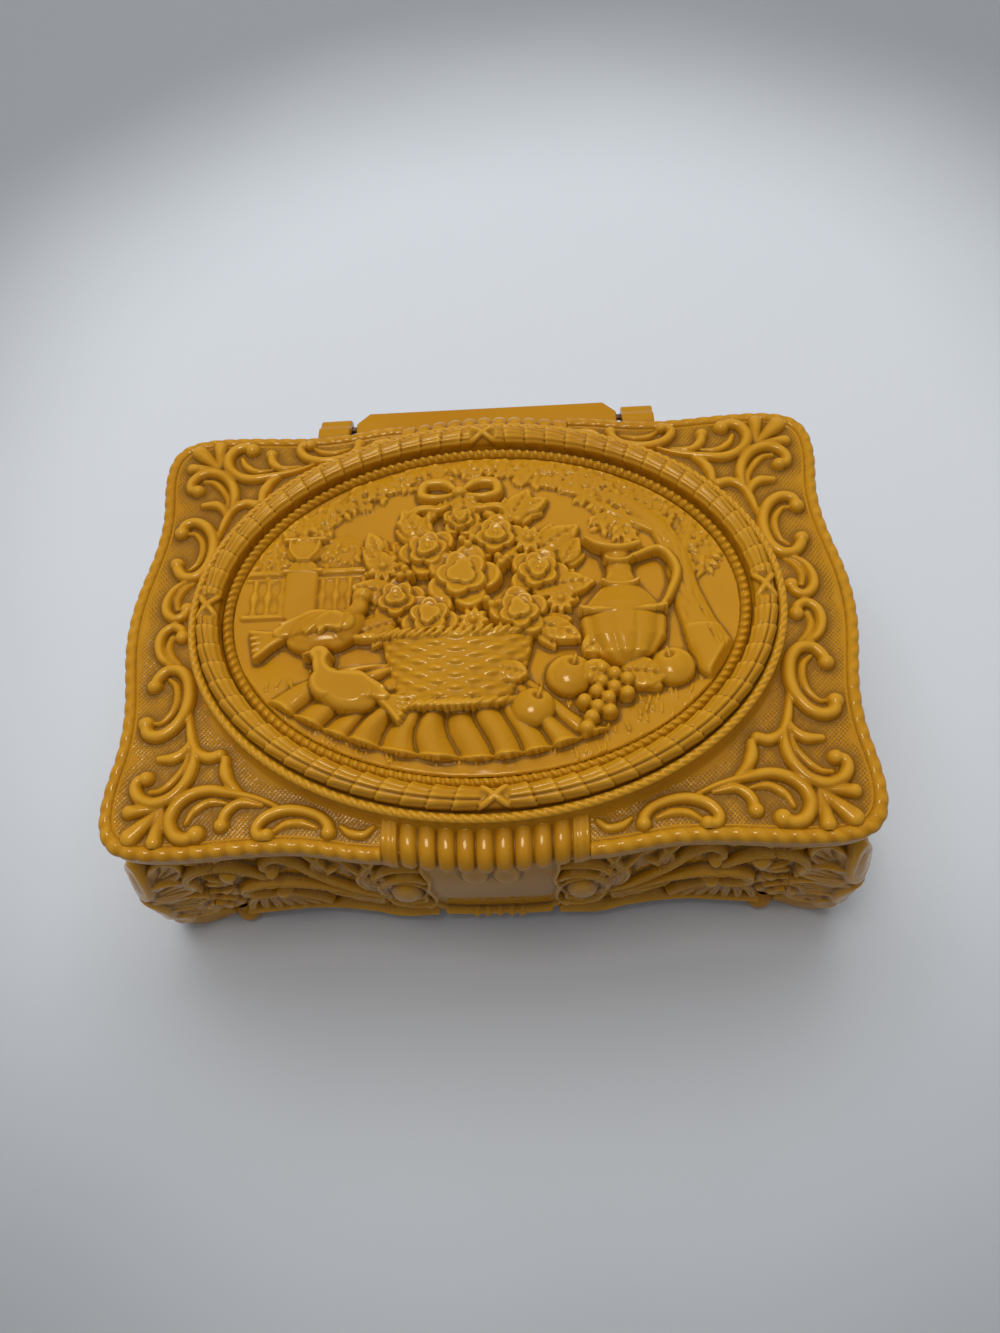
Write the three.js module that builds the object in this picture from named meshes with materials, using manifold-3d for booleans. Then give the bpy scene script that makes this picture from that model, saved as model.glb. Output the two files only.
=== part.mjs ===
// Trinket box of moulded butterscotch celluloid: a bombe tray on bracket feet and a
// hinged lid that carries an oval relief plaque inside a reeded moulding.
// Millimetres, +Z up, +X to the right, -Y to the front. The origin is on the table,
// under the middle of the box and its hinge shelf.
import * as THREE from 'three';
import { mergeVertices } from 'three/addons/utils/BufferGeometryUtils.js';
import Module from 'manifold-3d';

const wasm = await Module();
wasm.setup();

// Lid outline, measured from the middle of the lid
const lidLength = 165; // over the middles of the two ends
const lobeInset = 1.85; // each corner lobe stands this far inside the end's middle
const waistInset = 3.2; // deepest point of the hollow between middle and lobe
const lidDepth = 111.2; // over the corner lobes
const hollowDepth = 1.1; // long sides curve in by this much
const cornerLength = 14.65; // the rounding of a corner along the long side
const cornerDepth = 12.1; // and along the end
const waistRun = 15.5; // from the lobe's widest point to the waist
const hollowRun = 24; // from the lobe's deepest point to the long side's hollow
const centreSwell = 1.2; // the straight middle stands this far outside the lobes
const centreHalf = 22.5; // half length of the straight middle

// Heights above the table
const boxHeight = 55; // top of the lid's rim bead
const lipHeight = 5; // the lid's edge hangs this far below the rim bead's top
const fieldDrop = 0.9; // corner fields lie this far below the rim bead's top

// Lid section
const lidWall = 2.4;
const scrollRise = 1.6; // scrolls above the corner fields
const scrollRoot = 0.5; // and how deep they are rooted in them
const rimBeadWidth = 2.6;
const rimBeadInset = 0.5;
const seatGap = 0.3; // clearance between pieces that rest on each other

// Oval boss, its mouldings and the plaque's recess
const bossHalfLength = 66.1;
const bossHalfDepth = 51.2;
const bossRise = 5.2; // outer rope above the rim bead's top
const outerRopeWidth = 1.9;
const crestInset = 4.6; // middle of the reed moulding inside the boss's wall
const reedWidth = 5.0;
const reedRise = 1.7; // reed moulding above the outer rope
const recessInset = 7.3; // the recess's wall inside the boss's wall
const recessFloorRise = 0.2; // recess floor above the rim bead's top
const recessWallDrop = 0.8; // recess wall's top below the outer rope

// Plaque
const plaqueGap = 0.45; // open joint round the plaque
const plaqueGround = 2.7; // its ground above the rim bead's top
const plaqueBead = 1.9; // bead ring's height above the ground
const plaqueBeadWidth = 2.2;

// Gadroon on the front and back of the lid
const tongueCount = 9;
const tonguePitch = 3.85;
const tongueReach = 59.1; // tips from the lid's middle
const tongueRoot = 50.0;
const tongueRootRise = 1.1; // roots above the rim bead's top
const tongueTipDrop = 4.6; // tips below the rim bead's top
const postWidth = 3.6; // flat post at each end of the row

// Body
const rimInset = 3.3; // outside of the body's rim inside the lid's outline
const bodyWall = 2.4;
const neckHeight = 46;
const bellyInset = 1.5; // the carved ground, below its raised forms
const bellyHeight = 29;
const footInset = 2.1; // outside of the feet inside the lid's outline
const ankleInset = 2.3;
const ankleHeight = 6.6;
const cornerBulge = 3.6; // the body's corners stand this far outside the lid's
const cornerFade = 6.5; // and die away over this length to both sides
const wallDraft = 2.3; // inner wall leans in by this much down to the floor
const floorTop = 9.3;
const floorThickness = 2.5;
const skirtThickness = 3.6;

// Carving on the walls, drawn for one quarter of the box
const drawnCorner = 76.5; // from the front's middle to the corner's, along the outline
const drawnEnd = 129; // and on to the end's middle
const drawnTop = 51.4; // height of the wall
const carvedRise = 1.4; // boldest forms above the ground
const carvedRoot = 1.2; // forms reach this far into the wall
const crestShare = 0.4; // flat crest of a scroll, of its width
const endThinning = 0.6; // a scroll's ends against its middle
const moundFoot = 1.05; // a mound's foot and its flat top, against its drawn size
const moundTop = 0.6;
const panelRise = 0.65; // the front's smooth cartouche

// Gaps between the bracket feet, and their toes
const frontGapHalf = 65.5;
const endGapHalf = 39;
const apronHeight = 5.2;
const apronSwag = 1.6; // the apron's lowest points below its highest
const toeRadius = 3.3;
const toeFromGap = 2.9; // toe's middle from the end of the gap

// Hinge at the back
const axisBack = 61.5; // from the lid's middle
const axisDrop = 6.8; // below the rim bead's top
const knuckleRadius = 2.6;
const knuckleStart = 35.2;
const knuckleLength = 8;
const shelfBack = 66; // back edge from the lid's middle
const shelfHalf = 34.1;
const shelfDrop = 5.5; // its top below the rim bead's top
const shelfEdge = 2.2; // thickness of the shelf's back edge
const shelfChamfer = 3.4;
const bracketDepth = 8.5; // how far the shelf's bracket runs down the wall
const pinRadius = 0.8;
const pinClearance = 0.35;
const pinBite = 10; // length of pin held in the shelf's bracket

// Linings: card covered with pile
const liningThickness = 1.2;
const liningTopDrop = 6.2; // top edge below the rim bead's top
const padThickness = 2.4;
const lidLiningThickness = 1.2;
const lidLiningMargin = 0.8; // from the body's inner rim

// Steps along one quarter of the outline, from the end's middle to the straight front,
// and round the ovals
const endSteps = 4;
const lobeSteps = 3;
const cornerSteps = 6;
const hollowSteps = 3;
const swellSteps = 3;
const ovalSteps = 60;
const reliefColumns = 41; // grid of the plaque's relief
const reliefRows = 31;
const moundSides = 7;

// Values worked out from the sizes above
const lidMiddleY = (tongueReach - shelfBack) / 2;
const lipBottom = boxHeight - lipHeight;
const fieldTop = boxHeight - fieldDrop;
const roofUnder = fieldTop - lidWall;
const bodyTop = roofUnder - seatGap;
const ropeTop = boxHeight + bossRise;
const ropeMiddle = ropeTop - outerRopeWidth / 2;
const recessFloor = boxHeight + recessFloorRise;
const axisZ = boxHeight - axisDrop;
const shelfTop = boxHeight - shelfDrop;
const innerRimInset = rimInset + bodyWall;
const innerFloorInset = innerRimInset + wallDraft;
const lobeX = lidLength / 2 - lobeInset - cornerLength;
const lobeY = lidDepth / 2 - cornerDepth;
const waistY = lobeY - waistRun;
const hollowX = lobeX - hollowRun;

const celluloid = () => new THREE.MeshStandardMaterial({
  color: 0xc58a26, roughness: 0.32, metalness: 0 });
const steel = () => new THREE.MeshStandardMaterial({
  color: 0x6d4a35, roughness: 0.5, metalness: 0.9 });
const velvet = () => new THREE.MeshStandardMaterial({
  color: 0x6b1420, roughness: 0.95, metalness: 0 });

// The lid's outline, drawn in by an inset. The corner keeps its centre, so the
// wall between two insets stays nearly even.
function quadrant(inset) {
  const endX = lidLength / 2 - inset;
  const waistX = endX - waistInset;
  const cornerX = endX - lobeInset;
  const cornerY = lidDepth / 2 - inset;
  const hollowY = cornerY - hollowDepth;
  const middleY = cornerY + centreSwell;
  const ease = 0.4;
  const square = 0.75;
  const path = new THREE.Path();
  path.moveTo(endX, 0);
  path.bezierCurveTo(endX, waistY * ease, waistX, waistY * (1 - ease), waistX, waistY);
  path.bezierCurveTo(waistX, waistY + waistRun * ease, cornerX, lobeY - waistRun * ease,
    cornerX, lobeY);
  path.bezierCurveTo(cornerX, lobeY + (cornerY - lobeY) * square,
    lobeX + (cornerX - lobeX) * square, cornerY, lobeX, cornerY);
  path.bezierCurveTo(lobeX - hollowRun * ease, cornerY, hollowX + hollowRun * ease, hollowY,
    hollowX, hollowY);
  const swellRun = hollowX - centreHalf;
  path.bezierCurveTo(hollowX - swellRun * ease, hollowY, centreHalf + swellRun * ease,
    middleY - (middleY - hollowY) * 0.25, centreHalf, middleY);
  const steps = [endSteps, lobeSteps, cornerSteps, hollowSteps, swellSteps];
  const points = [];
  path.curves.forEach((curve, i) => {
    for (let k = 0; k < steps[i]; k += 1) points.push(curve.getPoint(k / steps[i]));
  });
  points.push(new THREE.Vector2(centreHalf, middleY));
  return points;
}

// How fully each point of a quadrant follows the bulge of the body's corner
const bulgeShares = (() => {
  const rim = quadrant(0);
  const run = [0];
  rim.slice(1).forEach((p, i) => run.push(run[i] + p.distanceTo(rim[i])));
  const middle = run[endSteps + lobeSteps + cornerSteps / 2];
  return run.map((along) => Math.exp(-(((along - middle) / cornerFade) ** 2)));
})();

// The whole outline. Bulge draws its corners out, up to cornerBulge outside the lid's.
function outline(inset, bulge = 0) {
  const drawn = quadrant(inset - bulge * (cornerBulge + inset));
  const first = quadrant(inset).map((p, i) => p.lerp(drawn[i], bulgeShares[i]));
  const mirror = (list, sx, sy) => list.map((p) => new THREE.Vector2(p.x * sx, p.y * sy));
  const second = mirror(first, -1, 1).reverse();
  const third = mirror(first, -1, -1);
  const fourth = mirror(first, 1, -1).reverse();
  return [...first, ...second.slice(0, -1), ...third, ...fourth.slice(0, -1)];
}

function ellipse(halfX, halfY) {
  return Array.from({ length: ovalSteps }, (_, i) => {
    const turn = (i / ovalSteps) * 2 * Math.PI;
    return new THREE.Vector2(halfX * Math.cos(turn), halfY * Math.sin(turn));
  });
}

const bossOval = (inset) => ellipse(bossHalfLength - inset, bossHalfDepth - inset);

const lift = (points, z) => points.map((p) => new THREE.Vector3(p.x, p.y, z));

// Skin through rings of equal length. A loft is closed by a flat cap at each end,
// or runs back to its first ring. Round ends take a fan, and outlines are cut to ears.
function loft(rings, { closed = false, fan = false } = {}) {
  const count = rings[0].length;
  const points = rings.flat();
  const faces = [];
  const spans = closed ? rings.length : rings.length - 1;
  for (let r = 0; r < spans; r += 1) {
    const low = r * count;
    const high = ((r + 1) % rings.length) * count;
    for (let i = 0; i < count; i += 1) {
      const j = (i + 1) % count;
      faces.push([low + i, low + j, high + j], [low + i, high + j, high + i]);
    }
  }
  if (!closed) {
    const cap = (ring, start, flip) => {
      const flat = ring.map((p) => new THREE.Vector2(p.x, p.y));
      const ears = fan
        ? ring.slice(2).map((_, i) => [0, i + 1, i + 2])
        : THREE.ShapeUtils.triangulateShape(flat, []);
      ears.forEach(([a, b, c]) => {
        faces.push(flip ? [start + c, start + b, start + a] : [start + a, start + b, start + c]);
      });
    };
    cap(rings[0], 0, true);
    cap(rings[rings.length - 1], (rings.length - 1) * count, false);
  }
  const geometry = new THREE.BufferGeometry();
  geometry.setAttribute('position', new THREE.Float32BufferAttribute(
    points.flatMap((p) => [p.x, p.y, p.z]), 3));
  geometry.setIndex(faces.flat());
  return geometry;
}

function toSolid(geometry) {
  const bare = geometry.clone();
  bare.deleteAttribute('normal');
  bare.deleteAttribute('uv');
  const merged = mergeVertices(bare, 1e-4);
  return new wasm.Manifold(new wasm.Mesh({
    numProp: 3,
    vertProperties: new Float32Array(merged.attributes.position.array),
    triVerts: new Uint32Array(merged.index.array),
  }));
}

function toGeometry(solid) {
  const mesh = solid.getMesh();
  const geometry = new THREE.BufferGeometry();
  geometry.setAttribute('position', new THREE.BufferAttribute(mesh.vertProperties, 3));
  geometry.setIndex(new THREE.BufferAttribute(mesh.triVerts, 1));
  geometry.computeVertexNormals();
  return geometry;
}

// A section in the YZ plane, extruded along X between two places
function extrudeAlongX(shape, fromX, toX, curveSegments = 8) {
  const geometry = new THREE.ExtrudeGeometry(shape, {
    depth: toX - fromX, bevelEnabled: false, curveSegments });
  geometry.rotateZ(Math.PI / 2);
  geometry.rotateY(Math.PI / 2);
  geometry.translate(fromX, 0, 0);
  return toSolid(geometry);
}

function rodAlongX(radius, fromX, toX, sides = 16) {
  const geometry = new THREE.CylinderGeometry(radius, radius, toX - fromX, sides);
  geometry.rotateZ(Math.PI / 2);
  geometry.translate((fromX + toX) / 2, axisBack, axisZ);
  return geometry;
}

// Body: one moulding with the tray, the skirt and the hinge shelf
function apronCut(halfGap, swags) {
  const shape = new THREE.Shape();
  const steps = swags * 6;
  shape.moveTo(-halfGap, -1);
  shape.lineTo(halfGap, -1);
  for (let i = 0; i <= steps; i += 1) {
    const along = halfGap * (1 - (2 * i) / steps);
    const wave = Math.cos((i / 6) * 2 * Math.PI);
    const end = i === 0 || i === steps ? apronSwag : 0;
    shape.lineTo(along, apronHeight - apronSwag * 0.5 * (1 + wave) - end * 0.5);
  }
  return shape;
}

function toe(x, y) {
  const flat = Math.sqrt(toeRadius ** 2 - (toeRadius * 0.8) ** 2);
  const profile = [new THREE.Vector2(0, 0), new THREE.Vector2(flat, 0)];
  for (let i = 1; i <= 4; i += 1) {
    const turn = -0.93 + (i / 4) * (0.93 + Math.PI / 2.4);
    profile.push(new THREE.Vector2(toeRadius * Math.cos(turn),
      toeRadius * (0.8 + Math.sin(turn))));
  }
  profile.push(new THREE.Vector2(toeRadius * 0.26, floorTop - floorThickness));
  profile.push(new THREE.Vector2(0, floorTop - floorThickness));
  const geometry = new THREE.LatheGeometry(profile, 14);
  geometry.rotateX(Math.PI / 2);
  geometry.translate(x, y, 0);
  return toSolid(geometry);
}

// Outside of the wall from the table up: inset from the lid's outline, height, and
// how far the corners are drawn out there
const wallSection = [
  [footInset, 0, 0.66],
  [footInset, ankleHeight * 0.45, 0.7],
  [ankleInset, ankleHeight, 0.78],
  [(ankleInset + bellyInset) * 0.5, (ankleHeight + bellyHeight) * 0.42, 0.92],
  [bellyInset + 0.25, bellyHeight - 9, 0.96],
  [bellyInset, bellyHeight, 0.86],
  [bellyInset + 0.35, bellyHeight + 7, 0.55],
  [(bellyInset + rimInset) * 0.5, (bellyHeight + neckHeight) * 0.54, 0.26],
  [rimInset - 0.15, neckHeight, 0.05],
  [rimInset, bodyTop, 0],
];

// The scrolls and leaf ribs of a quarter: [width, rise as a share, [along, height] ...]
const wallScrolls = [
  [2.6, 0.8, [24, 20], [30, 25.5], [36, 31.5], [41, 38], [45.5, 42], [49.5, 40.5]],
  [3.0, 1, [28, 19.5], [34, 23.5], [40, 27.5], [47, 31], [53, 30.8], [56.4, 27.5], [55, 23]],
  [2.8, 0.9, [50.5, 34], [53, 38], [58, 41], [63.5, 40.2], [67, 36], [67.2, 31]],
  [2.4, 0.85, [14.8, 35], [18.5, 37], [23, 35], [25.2, 29.5], [24.6, 23]],
  [3.0, 1, [49.5, 19.5], [42.5, 9.5]],
  [3.0, 1, [51, 19.5], [47, 7.9]],
  [3.0, 1, [52, 19.5], [52, 7.2]],
  [3.0, 1, [53.3, 19.5], [57, 8.2]],
  [3.6, 1, [76.5, 45], [76.5, 34], [76.5, 22], [76.5, 10]],
  [2.8, 0.95, [125, 9], [118, 8.8], [112.5, 12], [110.8, 18], [113.4, 23.2], [117, 22]],
  [2.8, 0.95, [116.5, 28], [112.5, 34], [107, 38.2], [101.5, 37.2], [101, 32.5]],
  [3.2, 1, [129, 27.5], [129, 41]],
  [3.2, 1, [128, 27], [124, 39.8]],
  [3.2, 1, [127, 26.5], [119.6, 35.8]],
];
// Leaves that clasp the corner, one above the other, to both sides
[40, 29.5, 19].forEach((height) => [-1, 1].forEach((side) => {
  const reach = (along) => drawnCorner + side * along;
  wallScrolls.push([4.2, 0.85, [reach(1), height - 6], [reach(5.5), height - 2.5],
    [reach(9), height - 4.5]]);
}));

// Roses, cabochons and clumps of leaves: [along, height, half length, half height, rise]
const wallMounds = [
  [19.6, 27, 4.2, 6.8, 1],
  [65.5, 17.5, 7.2, 6.6, 0.8],
  [65.5, 17.5, 3.2, 3, 1],
  [129, 18, 7.8, 7.4, 1],
  [101, 20.5, 6, 6, 0.9],
  [101.5, 10.5, 6.5, 3.4, 0.7],
  [76.5, 5.4, 5.5, 4, 0.8],
];

// The front's smooth cartouche: [along, height] round its right half
const cartouche = [[0, 6.4], [8, 6.6], [12.6, 8.4], [14, 12], [13, 20], [13.8, 28],
  [13, 35], [14, 41], [12.8, 46], [0, 46]];

// A place on the wall's outside for a place in the drawing of the carving
function wallPlacer() {
  const rim = [...quadrant(0), new THREE.Vector2(0, lidDepth / 2 + centreSwell)].reverse();
  const drawn = [...quadrant(1), new THREE.Vector2(0, lidDepth / 2 + centreSwell - 1)].reverse();
  const run = [0];
  rim.slice(1).forEach((p, i) => run.push(run[i] + p.distanceTo(rim[i])));
  const corner = run[run.length - 1 - endSteps - lobeSteps - cornerSteps / 2];
  const end = run[run.length - 1];
  return (along, height, out) => {
    const past = Math.abs(along) > drawnEnd;
    const folded = past ? 2 * drawnEnd - Math.abs(along) : Math.abs(along);
    const w = folded < drawnCorner
      ? (folded * corner) / drawnCorner
      : corner + ((folded - drawnCorner) * (end - corner)) / (drawnEnd - drawnCorner);
    const z = Math.min(height / drawnTop, 0.97) * bodyTop;
    let k = 1;
    while (k < wallSection.length - 1 && wallSection[k][1] < z) k += 1;
    const [lowInset, lowZ, lowBulge] = wallSection[k - 1];
    const [highInset, highZ, highBulge] = wallSection[k];
    const up = (z - lowZ) / (highZ - lowZ);
    const plain = lowInset + (highInset - lowInset) * up;
    const bulge = (lowBulge + (highBulge - lowBulge) * up)
      * Math.exp(-(((w - corner) / cornerFade) ** 2));
    const inset = plain - bulge * (cornerBulge + plain) - out;
    let i = 1;
    while (i < run.length - 1 && run[i] < w) i += 1;
    const share = (w - run[i - 1]) / (run[i] - run[i - 1]);
    const at = rim[i - 1].clone().lerp(rim[i], share);
    const inner = drawn[i - 1].clone().lerp(drawn[i], share);
    at.addScaledVector(inner.sub(at), inset);
    return new THREE.Vector3(at.x * (along < 0 ? -1 : 1), at.y * (past ? -1 : 1), z);
  };
}

// A bar along a line of points, with its crest in the middle. Place turns a point of
// the drawing and a height above the ground into a point of the model.
function rib(width, rise, root, line, place) {
  const rings = line.map(([along, up], i) => {
    const [ax, ay] = line[Math.max(i - 1, 0)];
    const [bx, by] = line[Math.min(i + 1, line.length - 1)];
    const length = Math.hypot(bx - ax, by - ay);
    const thin = line.length > 2 && (i === 0 || i === line.length - 1) ? endThinning : 1;
    const half = (width / 2) * thin;
    const acrossX = (-(by - ay) / length) * half;
    const acrossY = ((bx - ax) / length) * half;
    return [[-1, -root], [-crestShare, rise * thin], [crestShare, rise * thin], [1, -root]]
      .map(([q, out]) => place(along + acrossX * q, up + acrossY * q, out));
  });
  return toSolid(loft(rings, { fan: true }));
}

// One quarter's raised forms, each rooted in the wall
function wallForms() {
  const onWall = wallPlacer();
  const pieces = wallScrolls.map(([width, share, ...line]) => (
    rib(width, carvedRise * share, carvedRoot, line, onWall)));
  wallMounds.forEach(([along, height, halfLong, halfHigh, share]) => {
    const rise = carvedRise * share;
    const rings = [[moundFoot, -carvedRoot], [moundTop, rise]].map(([size, out]) => (
      Array.from({ length: moundSides }, (_, k) => {
        const turn = (-k / moundSides) * 2 * Math.PI;
        return onWall(along + halfLong * size * Math.cos(turn),
          height + halfHigh * size * Math.sin(turn), out);
      })));
    pieces.push(toSolid(loft(rings, { fan: true })));
  });
  const panel = [...cartouche.slice(1, -1).map(([x, y]) => [-x, y]),
    ...cartouche.slice().reverse()];
  pieces.push(toSolid(loft([-carvedRoot, panelRise].map((out) => (
    panel.map(([along, height]) => onWall(along, height, out)))), { fan: true })));
  return pieces;
}

function buildBase() {
  const levels = [
    [footInset + skirtThickness, floorTop - floorThickness],
    [footInset + skirtThickness, 0],
    ...wallSection,
    [innerRimInset, bodyTop],
    [innerFloorInset, floorTop],
  ];
  let solid = toSolid(loft(levels.map(([inset, z, bulge]) => (
    lift(outline(inset, bulge), z)))));
  const forms = wasm.Manifold.union(wallForms());
  const half = forms.add(forms.mirror([1, 0, 0]));
  solid = solid.add(half).add(half.mirror([0, 1, 0]));

  const frontCut = new THREE.ExtrudeGeometry(apronCut(frontGapHalf, 4), {
    depth: lidDepth * 1.5, bevelEnabled: false });
  frontCut.rotateX(Math.PI / 2);
  frontCut.translate(0, lidDepth * 0.75, 0);
  const endCut = new THREE.ExtrudeGeometry(apronCut(endGapHalf, 2), {
    depth: lidLength * 1.5, bevelEnabled: false });
  endCut.rotateX(Math.PI / 2);
  endCut.rotateZ(Math.PI / 2);
  endCut.translate(-lidLength * 0.75, 0, 0);
  solid = solid.subtract(toSolid(frontCut)).subtract(toSolid(endCut));

  const longSideY = lidDepth / 2 - footInset - skirtThickness / 2;
  const endX = lidLength / 2 - lobeInset - footInset - skirtThickness / 2;
  for (const sx of [-1, 1]) {
    for (const sy of [-1, 1]) {
      solid = solid.add(toe(sx * (frontGapHalf - toeFromGap), sy * longSideY));
      solid = solid.add(toe(sx * endX, sy * (endGapHalf - toeFromGap)));
    }
  }

  const wallY = lidDepth / 2 - hollowDepth - rimInset - bodyWall / 2;
  const section = new THREE.Shape();
  section.moveTo(wallY, shelfTop);
  section.lineTo(wallY, shelfTop - bracketDepth);
  section.quadraticCurveTo(axisBack - 1, shelfTop - bracketDepth * 0.8,
    shelfBack, shelfTop - shelfEdge);
  section.lineTo(shelfBack, shelfTop);
  const tray = toSolid(loft([
    lift(outline(innerFloorInset), floorTop), lift(outline(innerRimInset), bodyTop)]));
  solid = solid.add(extrudeAlongX(section, -shelfHalf, shelfHalf).subtract(tray));
  for (const side of [-1, 1]) {
    const corner = new THREE.Shape();
    corner.moveTo(side * shelfHalf, shelfBack - shelfChamfer);
    corner.lineTo(side * (shelfHalf + 1), shelfBack - shelfChamfer);
    corner.lineTo(side * (shelfHalf + 1), shelfBack + 1);
    corner.lineTo(side * (shelfHalf - shelfChamfer), shelfBack + 1);
    corner.lineTo(side * (shelfHalf - shelfChamfer), shelfBack);
    const cut = new THREE.ExtrudeGeometry(corner, { depth: lipHeight + bracketDepth * 2,
      bevelEnabled: false });
    cut.translate(0, 0, shelfTop - bracketDepth * 1.5);
    solid = solid.subtract(toSolid(cut));
    const inner = side * (shelfHalf - pinBite - pinClearance);
    const outer = side * (shelfHalf + 1);
    solid = solid.subtract(toSolid(rodAlongX(pinRadius + pinClearance,
      Math.min(inner, outer), Math.max(inner, outer))));
  }
  return toGeometry(solid);
}

// Lid: plate with a hanging edge and a rim bead, the boss and the gadroon rows
function halfRound(width, height, steps) {
  return Array.from({ length: steps + 1 }, (_, i) => {
    const turn = Math.PI * (i / steps);
    return [(width / 2) * (1 - Math.cos(turn)), height * Math.sin(turn)];
  });
}

function lidPlate() {
  const beadFoot = boxHeight - rimBeadWidth * 0.55;
  const rings = [
    [lidWall, roofUnder],
    [lidWall, lipBottom],
    [0, lipBottom],
    [0, beadFoot - 0.4],
    [rimBeadInset, beadFoot],
  ];
  halfRound(rimBeadWidth, boxHeight - beadFoot, 5).slice(1, -1).forEach(([along, up]) => {
    rings.push([rimBeadInset + along, beadFoot + up]);
  });
  rings.push([rimBeadInset + rimBeadWidth, fieldTop]);
  return toSolid(loft(rings.map(([inset, z]) => lift(outline(inset), z))));
}

function bossRing() {
  const rings = [];
  const wallFoot = fieldTop - lidWall * 0.5;
  rings.push([-0.6, wallFoot], [0, ropeTop - outerRopeWidth * 0.7]);
  halfRound(outerRopeWidth, outerRopeWidth / 2, 3).slice(1).forEach(([along, up]) => {
    rings.push([along, ropeMiddle + up]);
  });
  const reedStart = crestInset - reedWidth / 2;
  halfRound(reedWidth, reedRise + outerRopeWidth / 2, 6).slice(0, -1).forEach(([along, up]) => {
    rings.push([reedStart + along, ropeMiddle + up]);
  });
  rings.push([recessInset, ropeTop - recessWallDrop], [recessInset, recessFloor]);
  rings.push([bossHalfDepth / 2, recessFloor], [bossHalfDepth / 2, wallFoot]);
  return toSolid(loft(rings.map(([inset, z]) => lift(bossOval(inset), z)), { closed: true }));
}

// The boss is hollow underneath, so that its walls stay as thin as the plate
function bossHollow() {
  const ceiling = ropeMiddle - lidWall * 0.6;
  const innerWall = recessInset - lidWall * 0.7;
  const rings = [
    [lidWall, lipBottom],
    [lidWall, ceiling],
    [innerWall, ceiling],
    [innerWall, recessFloor - lidWall],
  ];
  return toSolid(loft(rings.map(([inset, z]) => lift(bossOval(inset), z))));
}

function tongue(x) {
  const radius = tonguePitch * 0.48;
  const rootZ = boxHeight + tongueRootRise - radius;
  const tipZ = boxHeight - tongueTipDrop + radius * 0.6;
  const tipY = tongueReach - radius;
  const path = new THREE.Path();
  path.moveTo(tongueRoot, rootZ);
  path.quadraticCurveTo(tipY, rootZ, tipY, tipZ);
  const sides = 8;
  const rings = [];
  const ringAt = (centre, out, size) => Array.from({ length: sides }, (_, k) => {
    const turn = (k / sides) * 2 * Math.PI;
    const across = size * Math.cos(turn);
    const up = size * Math.sin(turn);
    return new THREE.Vector3(x + across, centre.x - out.y * up, centre.y + out.x * up);
  });
  const spans = 5;
  for (let i = 0; i <= spans; i += 1) {
    rings.push(ringAt(path.getPoint(i / spans), path.getTangent(i / spans), radius));
  }
  const end = path.getPoint(1);
  const out = path.getTangent(1);
  for (const turn of [0.35, 0.7]) {
    const centre = end.clone().addScaledVector(out, radius * Math.sin(turn * Math.PI / 2));
    rings.push(ringAt(centre, out, radius * Math.cos(turn * Math.PI / 2)));
  }
  return toSolid(loft(rings.reverse(), { fan: true }));
}

function gadroonRow() {
  const pieces = Array.from({ length: tongueCount }, (_, i) => (
    tongue((i - (tongueCount - 1) / 2) * tonguePitch)));
  const half = (tongueCount * tonguePitch) / 2;
  const low = boxHeight - tongueTipDrop;
  const high = boxHeight + tongueRootRise;
  const section = (reach, top) => {
    const shape = new THREE.Shape();
    shape.moveTo(tongueRoot, low);
    shape.lineTo(tongueRoot, top);
    shape.quadraticCurveTo(reach, top, reach, low);
    return shape;
  };
  const bedReach = tongueReach - tonguePitch * 0.4;
  pieces.push(extrudeAlongX(section(bedReach, high - tonguePitch * 0.4), -half, half));
  for (const side of [-1, 1]) {
    const near = side * (half + 0.1);
    const far = side * (half + 0.1 + postWidth);
    pieces.push(extrudeAlongX(section(bedReach, high), Math.min(near, far), Math.max(near, far)));
  }
  return wasm.Manifold.union(pieces);
}

// Scrolls and drops of one corner field: [width, [x, y] ...] from the lid's middle
const fieldScrolls = [
  [3.2, [67.5, 12], [72.6, 9], [73.7, 4.2], [71, 1.4]],
  [3.4, [73.3, 16.4], [70, 12.4], [65.6, 15.4], [65.2, 22.5], [68, 27.4], [72.8, 27]],
  [3, [64.5, 23], [61.8, 31], [57.5, 33.6]],
  [3.4, [62, 31], [62.2, 38], [65.2, 42.4], [71, 43], [73, 39.6]],
  [3.4, [66.6, 44.6], [73.4, 45.6]],
  [4.4, [67.2, 45.6], [72.2, 50.2]],
  [3.6, [66.4, 45], [67.4, 51.6]],
  [3.4, [45, 44], [52, 41.9], [59.5, 41.3], [64.2, 45], [63.6, 50], [60, 51]],
  [3, [50, 42.4], [54, 38.4], [54.9, 34.2]],
  [3, [31.8, 50.7], [33.8, 47.3], [39.4, 45.8], [45, 47.4], [45.4, 51]],
];

function cornerScrolls() {
  const onField = (x, y, up) => new THREE.Vector3(-x, y, fieldTop + up);
  const quarter = wasm.Manifold.union(fieldScrolls.map(([width, ...line]) => (
    rib(width, scrollRise, scrollRoot, line, onField))));
  const half = quarter.add(quarter.mirror([1, 0, 0]));
  return half.add(half.mirror([0, 1, 0]));
}

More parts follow.
